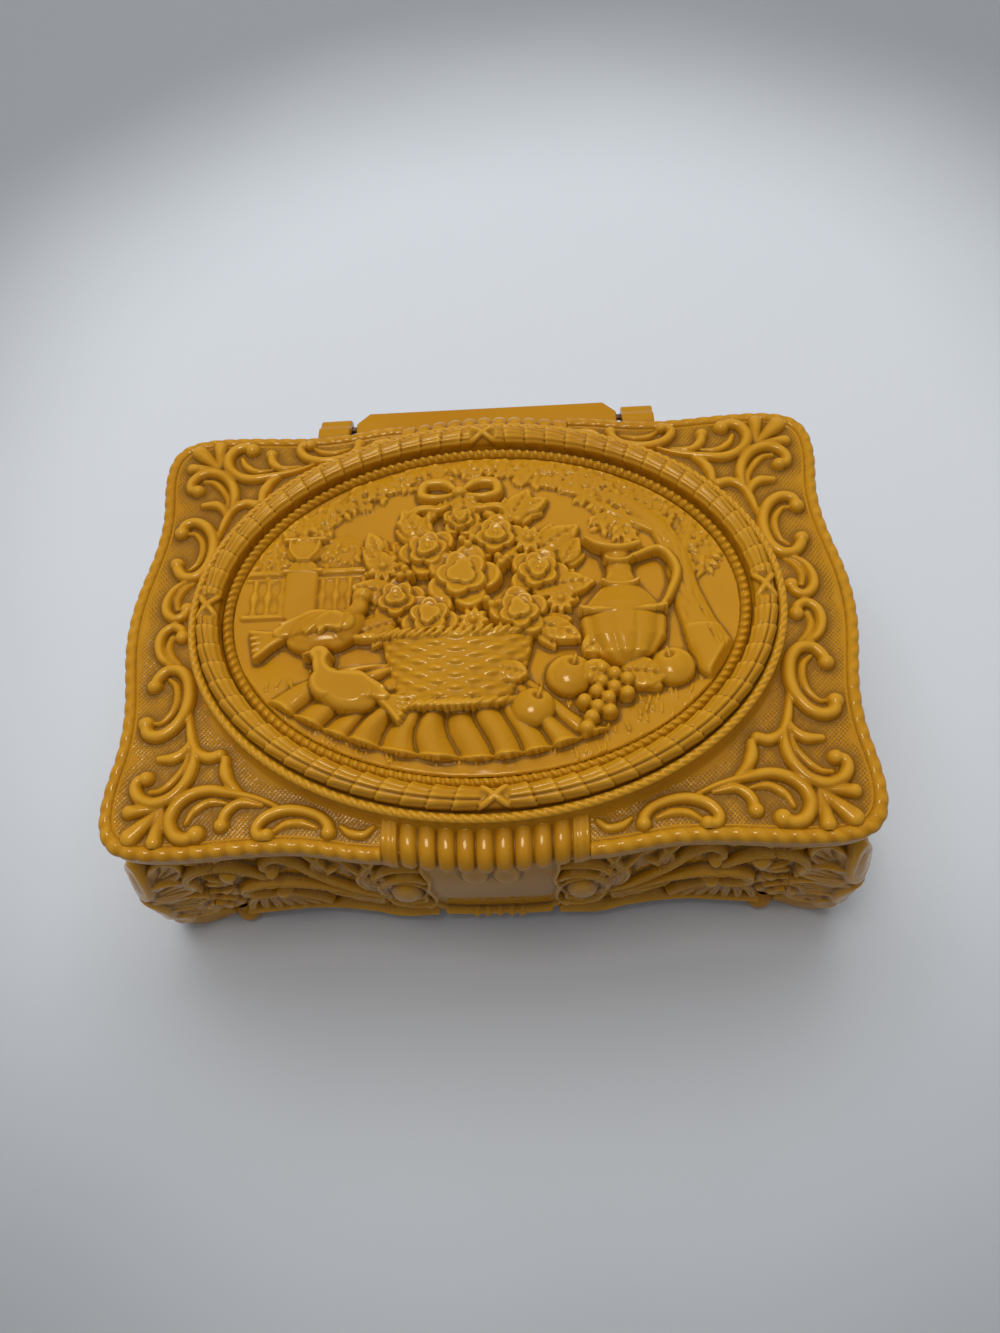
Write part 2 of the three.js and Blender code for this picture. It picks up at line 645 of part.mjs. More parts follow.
function buildLid() {
  let solid = lidPlate().add(bossRing()).add(cornerScrolls());
  solid = solid.subtract(bossHollow());
  const row = gadroonRow();
  solid = solid.add(row).add(row.rotate([0, 0, 180]));
  const keepOut = toSolid(loft([
    lift(outline(lidWall), lipBottom - 5), lift(outline(lidWall), roofUnder)]));
  solid = solid.subtract(keepOut);

  const armZ = boxHeight - rimBeadWidth;
  for (const side of [-1, 1]) {
    const shape = new THREE.Shape();
    const armY = lidDepth / 2 - hollowDepth - lidWall * 0.5;
    shape.moveTo(armY, lipBottom);
    shape.lineTo(axisBack - knuckleRadius, lipBottom);
    shape.lineTo(axisBack - knuckleRadius, axisZ);
    shape.absarc(axisBack, axisZ, knuckleRadius, Math.PI, Math.PI * 2.5, false);
    shape.lineTo(lidDepth / 2 + 1, armZ);
    shape.lineTo(armY, armZ);
    const near = side * knuckleStart;
    const far = side * (knuckleStart + knuckleLength);
    solid = solid.add(extrudeAlongX(shape, Math.min(near, far), Math.max(near, far)));
    solid = solid.subtract(toSolid(rodAlongX(pinRadius + pinClearance,
      Math.min(near, far) - 0.5, Math.max(near, far) + 0.5)));
  }
  return toGeometry(solid);
}

// Plaque: an oval plate with a bead ring and a modelled still life. Each mound is
// [middle x, middle y, half length, half breadth, turn in degrees, rise].
const mounds = [
  // Bank, cloth, garden wall, urn and tree
  [0, -38, 46, 10, 0, 1.0],
  [-11, -27, 33, 11, -6, 2.9],
  [-35, 4, 19, 6, 0, 1.2],
  [-41.5, 4, 9, 4.2, 90, 1.8],
  [-41.5, 16.5, 5.2, 4.6, 0, 2.4],
  [-41.5, 22, 6.6, 4.6, 0, 1.7],
  [-20, 12, 7, 6, 0, 1.1],
  [46.8, -8, 12, 4.6, 105, 2.4],
  [42, 14, 12, 4, 112, 2.1],
  [34, 28, 16, 6, -38, 1.5],
  [12, 37, 15, 4, -8, 1.3],
  [-22, 34.5, 14, 3.6, 22, 1.3],
  [48.5, 14.5, 5.5, 8.5, -15, 1.3],
  // Basket, flowers, leaves and bow
  [-5.5, -16, 16.5, 10.5, 0, 4.3],
  [3, 16.5, 7, 7, 0, 4.2],
  [-12.5, 13.5, 7, 7, 0, 4.2],
  [12.5, 6.5, 7, 7, 0, 4.4],
  [-19, 0.5, 6.8, 6.8, 0, 4.3],
  [-4.5, 6, 9, 9, 0, 4.9],
  [8, -4, 7, 7, 0, 4.8],
  [-11.5, -4.5, 7, 7, 0, 4.8],
  [-5, 22, 5, 5, 0, 3.9],
  [17, 16, 8, 4.5, 35, 2.6],
  [21, 4, 7.5, 4, 0, 2.6],
  [18, -9, 6.5, 3.6, -28, 2.5],
  [-24, 7, 8, 5, 150, 2.6],
  [-25, -6, 7, 4, 20, 2.5],
  [-17, 20, 6, 4, 120, 2.4],
  [9, 24.5, 6, 3.4, 40, 2.3],
  [-5.5, 31, 9.5, 3.8, 0, 2.9],
  // Ewer and fruit
  [30.5, -6.5, 10.6, 9.9, 90, 4.8],
  [30.5, 7.5, 7.5, 3.8, 90, 3.0],
  [27.5, 14, 5.5, 2.4, 0, 2.4],
  [41.5, 5, 8.5, 2.6, 105, 2.2],
  [18.5, -19.6, 5.8, 5.6, 0, 4.3],
  [40, -18.2, 5.4, 5.2, 0, 3.8],
  [10.5, -26.8, 5.2, 5, 0, 4.3],
  [25, -26, 8.5, 5.6, 62, 3.8],
  [33, -20.5, 6, 3.6, 0, 2.8],
  // Doves
  [-35, -6.4, 9.6, 5.6, 14, 3.9],
  [-28, 1.6, 3.4, 3, 0, 3.9],
  [-47, -9, 6, 3, 10, 2.0],
  [-29, -22, 8.8, 5.2, -16, 4.8],
  [-35.5, -14.5, 3, 3, 0, 4.7],
  [-18.5, -24.5, 5.5, 3, -20, 3.6],
];

function reliefRise(x, y) {
  let rise = 0;
  mounds.forEach(([mx, my, halfLong, halfBroad, degrees, top]) => {
    const turn = THREE.MathUtils.degToRad(degrees);
    const along = (x - mx) * Math.cos(turn) + (y - my) * Math.sin(turn);
    const across = (y - my) * Math.cos(turn) - (x - mx) * Math.sin(turn);
    const left = 1 - (along / halfLong) ** 2 - (across / halfBroad) ** 2;
    if (left > 0) rise = Math.max(rise, top * Math.sqrt(left));
  });
  return rise;
}

function buildPlaque() {
  const halfX = bossHalfLength - recessInset - plaqueGap;
  const halfY = bossHalfDepth - recessInset - plaqueGap;
  const ground = boxHeight + plaqueGround;
  const foot = recessFloor + seatGap;
  const rings = [[0, foot], [0, ground]];
  halfRound(plaqueBeadWidth, plaqueBead, 4).slice(1, -1).forEach(([along, up]) => {
    rings.push([along, ground + up]);
  });
  rings.push([plaqueBeadWidth, ground]);
  const plate = toSolid(loft(rings.map(([inset, z]) => (
    lift(ellipse(halfX - inset, halfY - inset), z)))));
  const block = Array.from({ length: reliefColumns + 1 }, (_, i) => {
    const x = halfX * (1 - (2 * i) / reliefColumns);
    const top = Array.from({ length: reliefRows + 1 }, (__, k) => {
      const y = halfY * ((2 * k) / reliefRows - 1);
      return new THREE.Vector3(x, y, ground + reliefRise(x, y));
    });
    return [new THREE.Vector3(x, halfY, foot), new THREE.Vector3(x, -halfY, foot), ...top];
  });
  const inner = plaqueBeadWidth * 0.6; // the relief ends under the bead ring
  const oval = toSolid(loft([foot, boxHeight * 2].map((z) => (
    lift(ellipse(halfX - inner, halfY - inner), z)))));
  return toGeometry(plate.add(toSolid(loft(block, { fan: true })).intersect(oval)));
}

// Pins, pad and linings
function buildPin(side) {
  const inner = side * (shelfHalf - pinBite);
  const outer = side * (knuckleStart + knuckleLength);
  return rodAlongX(pinRadius, Math.min(inner, outer), Math.max(inner, outer));
}

function buildPad() {
  const inset = innerFloorInset + 2 * seatGap + liningThickness;
  const bottom = floorTop + seatGap;
  return loft([
    lift(outline(inset), bottom),
    lift(outline(inset), bottom + padThickness * 0.6),
    lift(outline(inset + 0.8), bottom + padThickness),
  ]);
}

function buildLidLining() {
  const inset = innerRimInset + lidLiningMargin;
  const top = roofUnder - seatGap;
  return loft([
    lift(outline(inset), top - lidLiningThickness),
    lift(outline(inset), top),
  ]);
}

// A lining follows one wall between two corners and leans with it
function buildWallLining(from, to) {
  const bottom = floorTop + seatGap;
  const top = boxHeight - liningTopDrop;
  const insetAt = (z) => innerRimInset + wallDraft * ((bodyTop - z) / (bodyTop - floorTop));
  const strip = (inset, z) => {
    const ring = outline(inset);
    const picked = [];
    for (let i = from; i <= to; i += 1) {
      const p = ring[(i + ring.length) % ring.length];
      picked.push(new THREE.Vector3(p.x, p.y, z));
    }
    return picked;
  };
  const rings = [bottom, top].map((z) => {
    const outer = strip(insetAt(z) + seatGap, z);
    const inner = strip(insetAt(z) + seatGap + liningThickness, z).reverse();
    return [...outer, ...inner];
  });
  return loft(rings);
}

const group = new THREE.Group();
group.position.y = lidMiddleY;

function place(name, geometry, material) {
  const mesh = new THREE.Mesh(geometry, material);
  mesh.name = name;
  group.add(mesh);
}

place('base_shell', buildBase(), celluloid());
place('lid_shell', buildLid(), celluloid());
place('lid_plaque', buildPlaque(), celluloid());
place('hinge_pin_left', buildPin(-1), steel());
place('hinge_pin_right', buildPin(1), steel());
place('floor_pad', buildPad(), velvet());
place('lid_lining', buildLidLining(), velvet());

// Each wall's lining stops one step of the outline short of the corners' middles
const corner = endSteps + lobeSteps + cornerSteps / 2;
const half = outline(0).length / 2;
place('lining_right', buildWallLining(1 - corner, corner - 1), velvet());
place('lining_back', buildWallLining(corner + 1, half - corner - 1), velvet());
place('lining_left', buildWallLining(half - corner + 1, half + corner - 1), velvet());
place('lining_front', buildWallLining(half + corner + 1, 2 * half - corner - 1), velvet());

export default group;
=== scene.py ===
"""Moulded celluloid trinket box: a bombe tray on bracket feet and a hinged lid with an
oval relief plaque. Each operator builds one piece, or one group of like pieces."""

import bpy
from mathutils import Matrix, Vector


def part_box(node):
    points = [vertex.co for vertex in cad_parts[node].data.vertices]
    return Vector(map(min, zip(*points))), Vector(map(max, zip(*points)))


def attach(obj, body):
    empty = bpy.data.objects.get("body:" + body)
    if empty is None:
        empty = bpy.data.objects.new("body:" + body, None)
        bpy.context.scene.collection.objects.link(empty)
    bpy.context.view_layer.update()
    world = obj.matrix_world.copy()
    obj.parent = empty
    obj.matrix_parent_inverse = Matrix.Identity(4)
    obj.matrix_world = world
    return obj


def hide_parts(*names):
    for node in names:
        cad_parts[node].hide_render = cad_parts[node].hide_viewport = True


bl_info = {
    "name": "Celluloid Trinket Box",
    "version": (1, 0, 0),
    "blender": (4, 5, 0),
    "location": "3D View > Sidebar > Trinket Box",
    "description": "Builds a moulded trinket box with a carved body, lid and plaque",
    "category": "Object",
}

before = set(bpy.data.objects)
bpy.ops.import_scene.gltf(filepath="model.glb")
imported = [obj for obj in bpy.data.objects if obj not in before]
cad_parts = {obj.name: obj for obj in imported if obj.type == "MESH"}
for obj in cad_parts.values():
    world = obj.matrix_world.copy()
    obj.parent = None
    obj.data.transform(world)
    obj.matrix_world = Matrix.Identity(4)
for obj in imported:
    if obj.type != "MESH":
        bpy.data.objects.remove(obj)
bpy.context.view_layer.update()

import math

import bpy
import numpy as np
from bpy.props import FloatProperty, FloatVectorProperty, PointerProperty
from mathutils import Matrix, Vector

MM = 0.001
PLAIN_STEP = 0.8  # distance between the points round a plain piece, in millimetres


def cad_box(node):
    """Lowest and highest corner of a CAD node, in millimetres."""
    low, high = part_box(node)
    return np.array(low) / MM, np.array(high) / MM


PLAQUE_LOW, PLAQUE_HIGH = cad_box("lid_plaque")
# The lid's middle lies this far back from the frame's origin
LID_BACK = (PLAQUE_LOW[1] + PLAQUE_HIGH[1]) / 2


def size(label, value, note):
    """A size held in metres, written here in millimetres."""
    return FloatProperty(name=label, description=note, default=value * MM, min=0.0,
                         unit="LENGTH", subtype="DISTANCE", precision=5)


def paint(label, value, note):
    return FloatVectorProperty(name=label, description=note, default=value, size=3,
                               min=0.0, max=1.0, subtype="COLOR")


class TrinketSizes(bpy.types.PropertyGroup):
    """Sizes of the lid's outline, the mouldings and the carving"""
    lid_length: size("Lid length", 165.0, "Over the middles of the two ends")
    lid_depth: size("Lid depth", 111.2, "Over the corner lobes")
    lobe_inset: size("Lobe inset", 1.85, "Corner lobes inside the ends' middles")
    waist_inset: size("Waist inset", 3.2, "Depth of the hollow in each end")
    hollow_depth: size("Hollow depth", 1.1, "Depth of the hollow in the long sides")
    corner_length: size("Corner length", 14.65, "Rounding of a corner along the long side")
    corner_depth: size("Corner depth", 12.1, "Rounding of a corner along the end")
    waist_run: size("Waist run", 15.5, "From a lobe to the end's hollow")
    hollow_run: size("Hollow run", 24.0, "From a lobe to the long side's hollow")
    centre_swell: size("Centre swell", 1.2, "Straight middle outside the lobes")
    centre_half: size("Centre half", 22.5, "Half length of the straight middle")
    rim_height: size("Rim height", 55.0, "Top of the rim rope above the table")
    lip_height: size("Lip height", 5.0, "The lid's edge below the rim rope's top")
    field_drop: size("Field drop", 0.9, "Corner fields below the rim rope's top")
    boss_half_length: size("Boss half length", 66.1, "Oval boss, at its outer wall")
    boss_half_depth: size("Boss half depth", 51.2, "Oval boss, at its outer wall")
    boss_rise: size("Boss rise", 5.2, "Boss rope above the rim rope's top")
    rim_rope_pitch: size("Rim bead pitch", 3.75, "From one oval bead to the next")
    boss_rope_pitch: size("Boss rope pitch", 2.1, "From one turn to the next")
    reed_pitch: size("Reed pitch", 5.6, "Length of one bundle of reeds")
    tongue_pitch: size("Gadroon pitch", 3.85, "From one gadroon to the next")
    relief_step: size("Relief step", 0.3, "Distance between points of carved surfaces")


class TrinketColours(bpy.types.PropertyGroup):
    """Colours of the plastic, the metal, the linings and the studio"""
    amber: paint("Amber", (0.49, 0.222, 0.007), "Plastic on open faces")
    # Lighter amber for the high places: rubbed wear and painted highlight
    amber_rub_and_highlight: paint("Light amber", (0.62, 0.30, 0.02), "Rubbed high places")
    # Dark brown for the hollows: grime and painted shade
    grime_and_shade: paint("Grime", (0.155, 0.06, 0.003), "Plastic in the recesses")
    bloom: paint("Bloom", (0.34, 0.19, 0.02), "Dry dust on the matted ground")
    steel: paint("Steel", (0.16, 0.075, 0.045), "Browned hinge pins")
    pile: paint("Pile", (0.19, 0.012, 0.022), "Velvet linings")
    paper: paint("Paper", (0.635, 0.66, 0.70), "Floor and backdrop")


def mm(name):
    """One of the sizes, in millimetres."""
    return getattr(bpy.context.scene.trinket_sizes, name) / MM


def rgba(name):
    """One of the colours, for a shader's socket."""
    return (*getattr(bpy.context.scene.trinket_colours, name), 1.0)


# Lines, outlines and profiles, in millimetres

def smooth_line(points, step=0.4):
    """A smooth line through given points, cut into short steps."""
    p = np.array(points, float)
    p = np.vstack([2 * p[0] - p[1], p, 2 * p[-1] - p[-2]])
    runs = []
    for a, b, c, d in zip(p, p[1:], p[2:], p[3:]):
        count = max(2, int(np.linalg.norm(c - b) / step))
        t = np.linspace(0, 1, count, endpoint=False)[:, None]
        runs.append(b + 0.5 * ((c - a) * t + (2 * a - 5 * b + 4 * c - d) * t ** 2
                               + (3 * b - a - 3 * c + d) * t ** 3))
    runs.append(p[-2:-1])
    return np.vstack(runs)


def bezier(a, b, c, d, count=40):
    t = np.linspace(0, 1, count, endpoint=False)[:, None]
    a, b, c, d = (np.array(p, float) for p in (a, b, c, d))
    return ((1 - t) ** 3 * a + 3 * (1 - t) ** 2 * t * b + 3 * (1 - t) * t ** 2 * c
            + t ** 3 * d)


def quarter_outline(inset):
    """The lid's outline drawn in by an inset, from the right end's middle to the back's."""
    end = mm("lid_length") / 2 - inset
    waist = end - mm("waist_inset")
    corner = end - mm("lobe_inset")
    corner_y = mm("lid_depth") / 2 - inset
    hollow_y = corner_y - mm("hollow_depth")
    middle_y = corner_y + mm("centre_swell")
    lobe_x = mm("lid_length") / 2 - mm("lobe_inset") - mm("corner_length")
    lobe_y = mm("lid_depth") / 2 - mm("corner_depth")
    waist_run, hollow_run = mm("waist_run"), mm("hollow_run")
    waist_y, hollow_x, half = lobe_y - waist_run, lobe_x - hollow_run, mm("centre_half")
    ease, square = 0.4, 0.75
    swell = hollow_x - half
    return np.vstack([
        bezier((end, 0), (end, waist_y * ease), (waist, waist_y * (1 - ease)),
               (waist, waist_y)),
        bezier((waist, waist_y), (waist, waist_y + waist_run * ease),
               (corner, lobe_y - waist_run * ease), (corner, lobe_y)),
        bezier((corner, lobe_y), (corner, lobe_y + (corner_y - lobe_y) * square),
               (lobe_x + (corner - lobe_x) * square, corner_y), (lobe_x, corner_y)),
        bezier((lobe_x, corner_y), (lobe_x - hollow_run * ease, corner_y),
               (hollow_x + hollow_run * ease, hollow_y), (hollow_x, hollow_y)),
        bezier((hollow_x, hollow_y), (hollow_x - swell * ease, hollow_y),
               (half + swell * ease, middle_y - (middle_y - hollow_y) * 0.25),
               (half, middle_y)),
        bezier((half, middle_y), (half * 0.66, middle_y), (half * 0.33, middle_y),
               (0, middle_y)),
        [(0, middle_y)],
    ])


def arc_length(points):
    steps = np.linalg.norm(np.diff(points, axis=0), axis=1)
    return np.concatenate([[0], np.cumsum(steps)])


def lid_loop(step):
    """Points evenly spaced round the lid's outline, and the way out from each.

    Drawn in by an inset, a point moves to point - inset * out. Also gives, for each
    point, how far it lies along the outline from the middle of the front or back."""
    rim = quarter_outline(0)
    out = rim - quarter_outline(1)
    run = arc_length(rim)
    quarter = run[-1]
    count = 4 * int(round(quarter / step))
    s = np.arange(count) * 4 * quarter / count
    fold = np.abs((s + quarter) % (2 * quarter) - quarter)
    side_x = np.where((s > quarter) & (s < 3 * quarter), -1, 1)
    side_y = np.where(s > 2 * quarter, -1, 1)
    sides = np.stack([side_x, side_y], 1)
    point = np.stack([np.interp(fold, run, rim[:, k]) for k in (0, 1)], 1) * sides
    away = np.stack([np.interp(fold, run, out[:, k]) for k in (0, 1)], 1) * sides
    return point, away, quarter - fold


def boss_loop(step):
    """Points evenly spaced round the oval boss, the way out, and the length so far."""
    turn = np.linspace(0, 2 * math.pi, 2001)
    oval = np.stack([mm("boss_half_length") * np.cos(turn),
                     mm("boss_half_depth") * np.sin(turn)], 1)
    run = arc_length(oval)
    count = 4 * int(round(run[-1] / step / 4))
    s = np.arange(count) * run[-1] / count
    turn = np.interp(s, run, turn)
    out = np.stack([np.cos(turn), np.sin(turn)], 1)
    point = out * (mm("boss_half_length"), mm("boss_half_depth"))
    return point, out, s


def swept(point, out, rings):
    """A grid of points: one row for each ring (inset, height) carried round a loop."""
    rows = []
    for inset, z in rings:
        flat = point - np.reshape(inset, (-1, 1)) * out
        rows.append(np.column_stack([flat, np.broadcast_to(z, len(point))]))
    return np.array(rows)


def rounded(profile, radius=0.4, steps=3):
    """A profile of (inset, height) with its inner corners rounded."""
    p = np.array(profile, float)
    done = [p[0]]
    for a, b, c in zip(p, p[1:], p[2:]):
        before, after = a - b, c - b
        cut = min(radius, np.linalg.norm(before) * 0.45, np.linalg.norm(after) * 0.45)
        start = b + before / np.linalg.norm(before) * cut
        end = b + after / np.linalg.norm(after) * cut
        for t in np.linspace(0, 1, steps + 1):
            done.append((1 - t) ** 2 * start + 2 * t * (1 - t) * b + t ** 2 * end)
    done.append(p[-1])
    return np.array(done)


# Carving on a grid of heights

def blurred(field, reach):
    """The field averaged over about reach cells each way."""
    reach = max(1, int(reach))
    for axis in (0, 1):
        for _ in range(3):
            pad = [(reach + 1, reach) if k == axis else (0, 0) for k in (0, 1)]
            total = np.cumsum(np.pad(field, pad, mode="edge"), axis=axis)
            high = np.take(total, range(2 * reach + 1, total.shape[axis]), axis)
            low = np.take(total, range(total.shape[axis] - 2 * reach - 1), axis)
            field = (high - low) / (2 * reach + 1)
    return field


def soft_noise(shape, cells, seed):
    """Smooth noise from -1 to 1, with bumps about so many cells wide."""
    rows, cols = (int(n / cells) + 4 for n in shape)
    coarse = np.random.default_rng(seed).uniform(-1, 1, (rows, cols))
    y, x = np.arange(shape[0]) / cells, np.arange(shape[1]) / cells
    iy, ix = y.astype(int), x.astype(int)
    fy, fx = (y - iy)[:, None], (x - ix)[None, :]
    fy, fx = fy * fy * (3 - 2 * fy), fx * fx * (3 - 2 * fx)
    top = coarse[np.ix_(iy, ix)] * (1 - fx) + coarse[np.ix_(iy, ix + 1)] * fx
    low = coarse[np.ix_(iy + 1, ix)] * (1 - fx) + coarse[np.ix_(iy + 1, ix + 1)] * fx
    return top * (1 - fy) + low * fy


class Carving:
    """Heights over a flat grid, in millimetres, that ornament is carved into."""

    def __init__(self, left, right, low, high, step):
        self.step = step
        self.x = np.arange(left, right + step * 0.5, step)
        self.y = np.arange(low, high + step * 0.5, step)
        self.height = np.zeros((len(self.y), len(self.x)))

    def blank(self):
        """An empty carving over the same grid."""
        return Carving(self.x[0], self.x[-1], self.y[0], self.y[-1], self.step)

    def crisp(self, reach, share):
        """Sharpens every form by a share of how far it stands off those round it."""
        self.height += share * (self.height - blurred(self.height, reach / self.step))

    def window(self, left, right, low, high):
        """The part of the grid that a box covers, and its coordinates."""
        def span(axis, start, end):
            first = int(np.clip((start - axis[0]) / self.step, 0, len(axis)))
            last = int(np.clip((end - axis[0]) / self.step + 2, 0, len(axis)))
            return slice(first, max(first, last))
        rows, cols = span(self.y, low, high), span(self.x, left, right)
        x, y = np.meshgrid(self.x[cols], self.y[rows])
        return (rows, cols), x, y

    def lay(self, part, shape, base, way):
        """Puts a shape on: over (level base), on (what is there) or cut (into it)."""
        here = self.height[part]
        if way == "over":
            self.height[part] = np.where(shape > 0, np.maximum(here, base + shape), here)
        elif way == "on":
            self.height[part] = here + shape
        elif way == "cut":
            self.height[part] = here - shape

    def ridge(self, points, width, rise, ends=(1, 1), base=0, way="over", power=0.5,
              thin=0.6):
        """A rounded ridge along a line. Ends gives its width along the way, as shares."""
        line = smooth_line(points, max(self.step, 0.35))
        along = np.linspace(0, 1, len(line))
        share = np.interp(along, np.linspace(0, 1, len(ends)), ends)
        half = np.maximum(width / 2 * share, 0.01)
        reach = half.max()
        (left, low), (right, high) = line.min(0) - reach, line.max(0) + reach
        part, x, y = self.window(left, right, low, high)
        shape = np.zeros(x.shape)
        if not shape.size:
            return
        first_x, first_y = x[0, 0], y[0, 0]
        for a, b, ra, rb in zip(line, line[1:], half, half[1:]):
            near = max(ra, rb)
            c0 = max(0, int((min(a[0], b[0]) - near - first_x) / self.step))
            c1 = int((max(a[0], b[0]) + near - first_x) / self.step) + 2
            r0 = max(0, int((min(a[1], b[1]) - near - first_y) / self.step))
            r1 = int((max(a[1], b[1]) + near - first_y) / self.step) + 2
            if c1 <= 0 or r1 <= 0:
                continue
            px, py = x[r0:r1, c0:c1] - a[0], y[r0:r1, c0:c1] - a[1]
            dx, dy = b - a
            t = np.clip((px * dx + py * dy) / max(dx * dx + dy * dy, 1e-9), 0, 1)
            radius = ra + t * (rb - ra)
            off = ((px - t * dx) ** 2 + (py - t * dy) ** 2) / radius ** 2
            body = rise * (radius / (width / 2)) ** thin * np.clip(1 - off, 0, 1) ** power
            shape[r0:r1, c0:c1] = np.maximum(shape[r0:r1, c0:c1], body)
        self.lay(part, shape, base, way)

    def local(self, x, y, long, broad, turn):
        """Window round a turned box, with shares along and across it."""
        reach = math.hypot(long, broad)
        part, gx, gy = self.window(x - reach, x + reach, y - reach, y + reach)
        c, s = math.cos(math.radians(turn)), math.sin(math.radians(turn))
        along = ((gx - x) * c + (gy - y) * s) / long
        across = ((gy - y) * c - (gx - x) * s) / broad
        return part, along, across

    def dome(self, x, y, long, broad, rise, turn=0, base=0, way="over", power=0.5):
        """An oval mound."""
        part, u, v = self.local(x, y, long, broad, turn)
        self.lay(part, rise * np.clip(1 - u * u - v * v, 0, 1) ** power, base, way)

    def petal(self, x, y, turn, long, broad, rise, base=0, edge=0.35):
        """A petal that opens outward: low at its root, with a turned edge at its tip."""
        part, u, v = self.local(x, y, long, broad, turn)
        t = np.sqrt(u * u + v * v)
        lean = (u + 1) / 2
        body = rise * (0.35 + 0.65 * lean) + edge * np.clip((t - 0.55) / 0.3, 0, 1)
        shape = np.where(t < 1, body * np.clip(1 - t ** 7, 0, 1) ** 0.6 + 0.01, 0)
        self.lay(part, shape, base, "over")

    def leaf(self, x, y, turn, long, broad, rise, base=0, veins=5):
        """A pointed leaf with a middle rib, from its root at x, y."""
        c, s = math.cos(math.radians(turn)), math.sin(math.radians(turn))
        part, u, v = self.local(x + c * long / 2, y + s * long / 2, long / 2, broad, turn)
        along = np.clip((u + 1) / 2, 0, 1)
        half = np.maximum(np.sin(math.pi * along ** 0.8) ** 0.75, 1e-3)
        q = np.abs(v) / half
        arch = np.clip(1 - q * q, 0, 1) ** 0.5
        rib = np.exp(-(v * broad / 0.35) ** 2)
        ripple = np.cos(2 * math.pi * (along * veins - q * 0.9)) * np.clip(1 - q, 0, 1)
        body = rise * (0.45 + 0.55 * arch) * (0.6 + 0.4 * np.sin(math.pi * along))
        body = body - 0.3 * rise * rib * (along < 0.93) + 0.09 * rise * ripple
        shape = np.where((q < 1) & (np.abs(u) < 1), np.maximum(body, 0.02), 0)
        self.lay(part, shape, base, "over")

    def sample(self, x, y):
        """Heights at any places, between the grid's points."""
        fx = np.clip((x - self.x[0]) / self.step, 0, len(self.x) - 1.001)
        fy = np.clip((y - self.y[0]) / self.step, 0, len(self.y) - 1.001)
        ix, iy = fx.astype(int), fy.astype(int)
        tx, ty = fx - ix, fy - iy
        h = self.height
        return ((h[iy, ix] * (1 - tx) + h[iy, ix + 1] * tx) * (1 - ty)
                + (h[iy + 1, ix] * (1 - tx) + h[iy + 1, ix + 1] * tx) * ty)

    def hollows(self, reach=1.2, depth=0.5):
        """How far each place lies below those round it: 0.5 is level, 1 deep."""
        deep = blurred(self.height, reach / self.step) - self.height
        return np.clip(0.5 + deep / (2 * depth), 0, 1)


# Meshes

def new_piece(name, verts, faces, body, slot, hollow, uv):
    """A smooth mesh on a body, from points in millimetres and lists of faces. Each point
    has a measure of how hollow the place is and a place on the flat sheet."""
    mesh = bpy.data.meshes.new(name)
    verts = np.asarray(verts, float) + (0, LID_BACK, 0)
    mesh.vertices.add(len(verts))
    mesh.vertices.foreach_set("co", (verts * MM).astype(np.float32).ravel())
    corners = np.concatenate([f.ravel() for f in faces]).astype(np.int32)
    counts = np.concatenate([np.full(len(f), f.shape[1]) for f in faces])
    starts = np.concatenate([[0], np.cumsum(counts)[:-1]]).astype(np.int32)
    mesh.loops.add(len(corners))
    mesh.loops.foreach_set("vertex_index", corners)
    mesh.polygons.add(len(starts))
    mesh.polygons.foreach_set("loop_start", starts)
    mesh.update(calc_edges=True)
    mesh.shade_smooth()
    # The finish darkens hollow places with grime and painted shade, and lightens high ones with
    # rubbed wear and painted highlight
    layer = mesh.attributes.new("hollow", "FLOAT", "POINT")
    layer.data.foreach_set("value", hollow.astype(np.float32))
    layer = mesh.uv_layers.new(name="OFBake")
    layer.data.foreach_set("uv", uv[corners].astype(np.float32).ravel())
    mesh.materials.append(FINISHES[slot]())
    piece = bpy.data.objects.new(name, mesh)
    bpy.context.scene.collection.objects.link(piece)
    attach(piece, body)
    return piece


def grid_piece(name, grid, body, slot, hollow=None, keep=None, ring=False, flip=False,
               caps=(), normals=None):
    """A sheet over rows and columns of points, on a body and with the finish of a slot.

    Hollow says how deep each point lies in the carving, and keep which points are used.
    A ring joins the last column to the first, flip turns the faces round, and caps closes
    the first or last row with a fan."""
    rows, cols = grid.shape[:2]
    index = np.arange(rows * cols).reshape(rows, cols)
    if ring:
        index = np.hstack([index, index[:, :1]])
    quads = np.stack([index[:-1, :-1], index[:-1, 1:], index[1:, 1:], index[1:, :-1]], -1)
    if keep is not None:
        quads = quads[keep[:-1, :-1] & keep[:-1, 1:] & keep[1:, 1:] & keep[1:, :-1]]
    quads = quads.reshape(-1, 4)
    verts = grid.reshape(-1, 3)
    level = np.full(len(verts), 0.5) if hollow is None else np.asarray(hollow).ravel()
    across, down = np.meshgrid(np.arange(cols) / cols, np.arange(rows) / rows)
    uv = np.stack([across.ravel(), down.ravel()], 1)
    fans = []
    for row in caps:
        edge = index[row]
        middle = np.full(len(edge) - 1, len(verts))
        verts = np.vstack([verts, grid[row].mean(0)])
        level = np.append(level, 0.5)
        uv = np.vstack([uv, (0.5, down.ravel()[edge[0]])])
        near, far = (edge[1:], edge[:-1]) if row == 0 else (edge[:-1], edge[1:])
        fans.append(np.stack([near, far, middle], 1))
    faces = [quads, *fans]
    if flip:
        faces = [f[:, ::-1] for f in faces]
    used, fresh = np.unique(np.concatenate([f.ravel() for f in faces]), return_inverse=True)
    cuts = np.cumsum([f.size for f in faces])[:-1]
    faces = [part.reshape(f.shape) for part, f in zip(np.split(fresh, cuts), faces)]
    piece = new_piece(name, verts[used], faces, body, slot, level[used], uv[used])
    if normals is not None:
        piece.data.normals_split_custom_set_from_vertices(normals.reshape(-1, 3)[used])
    return piece


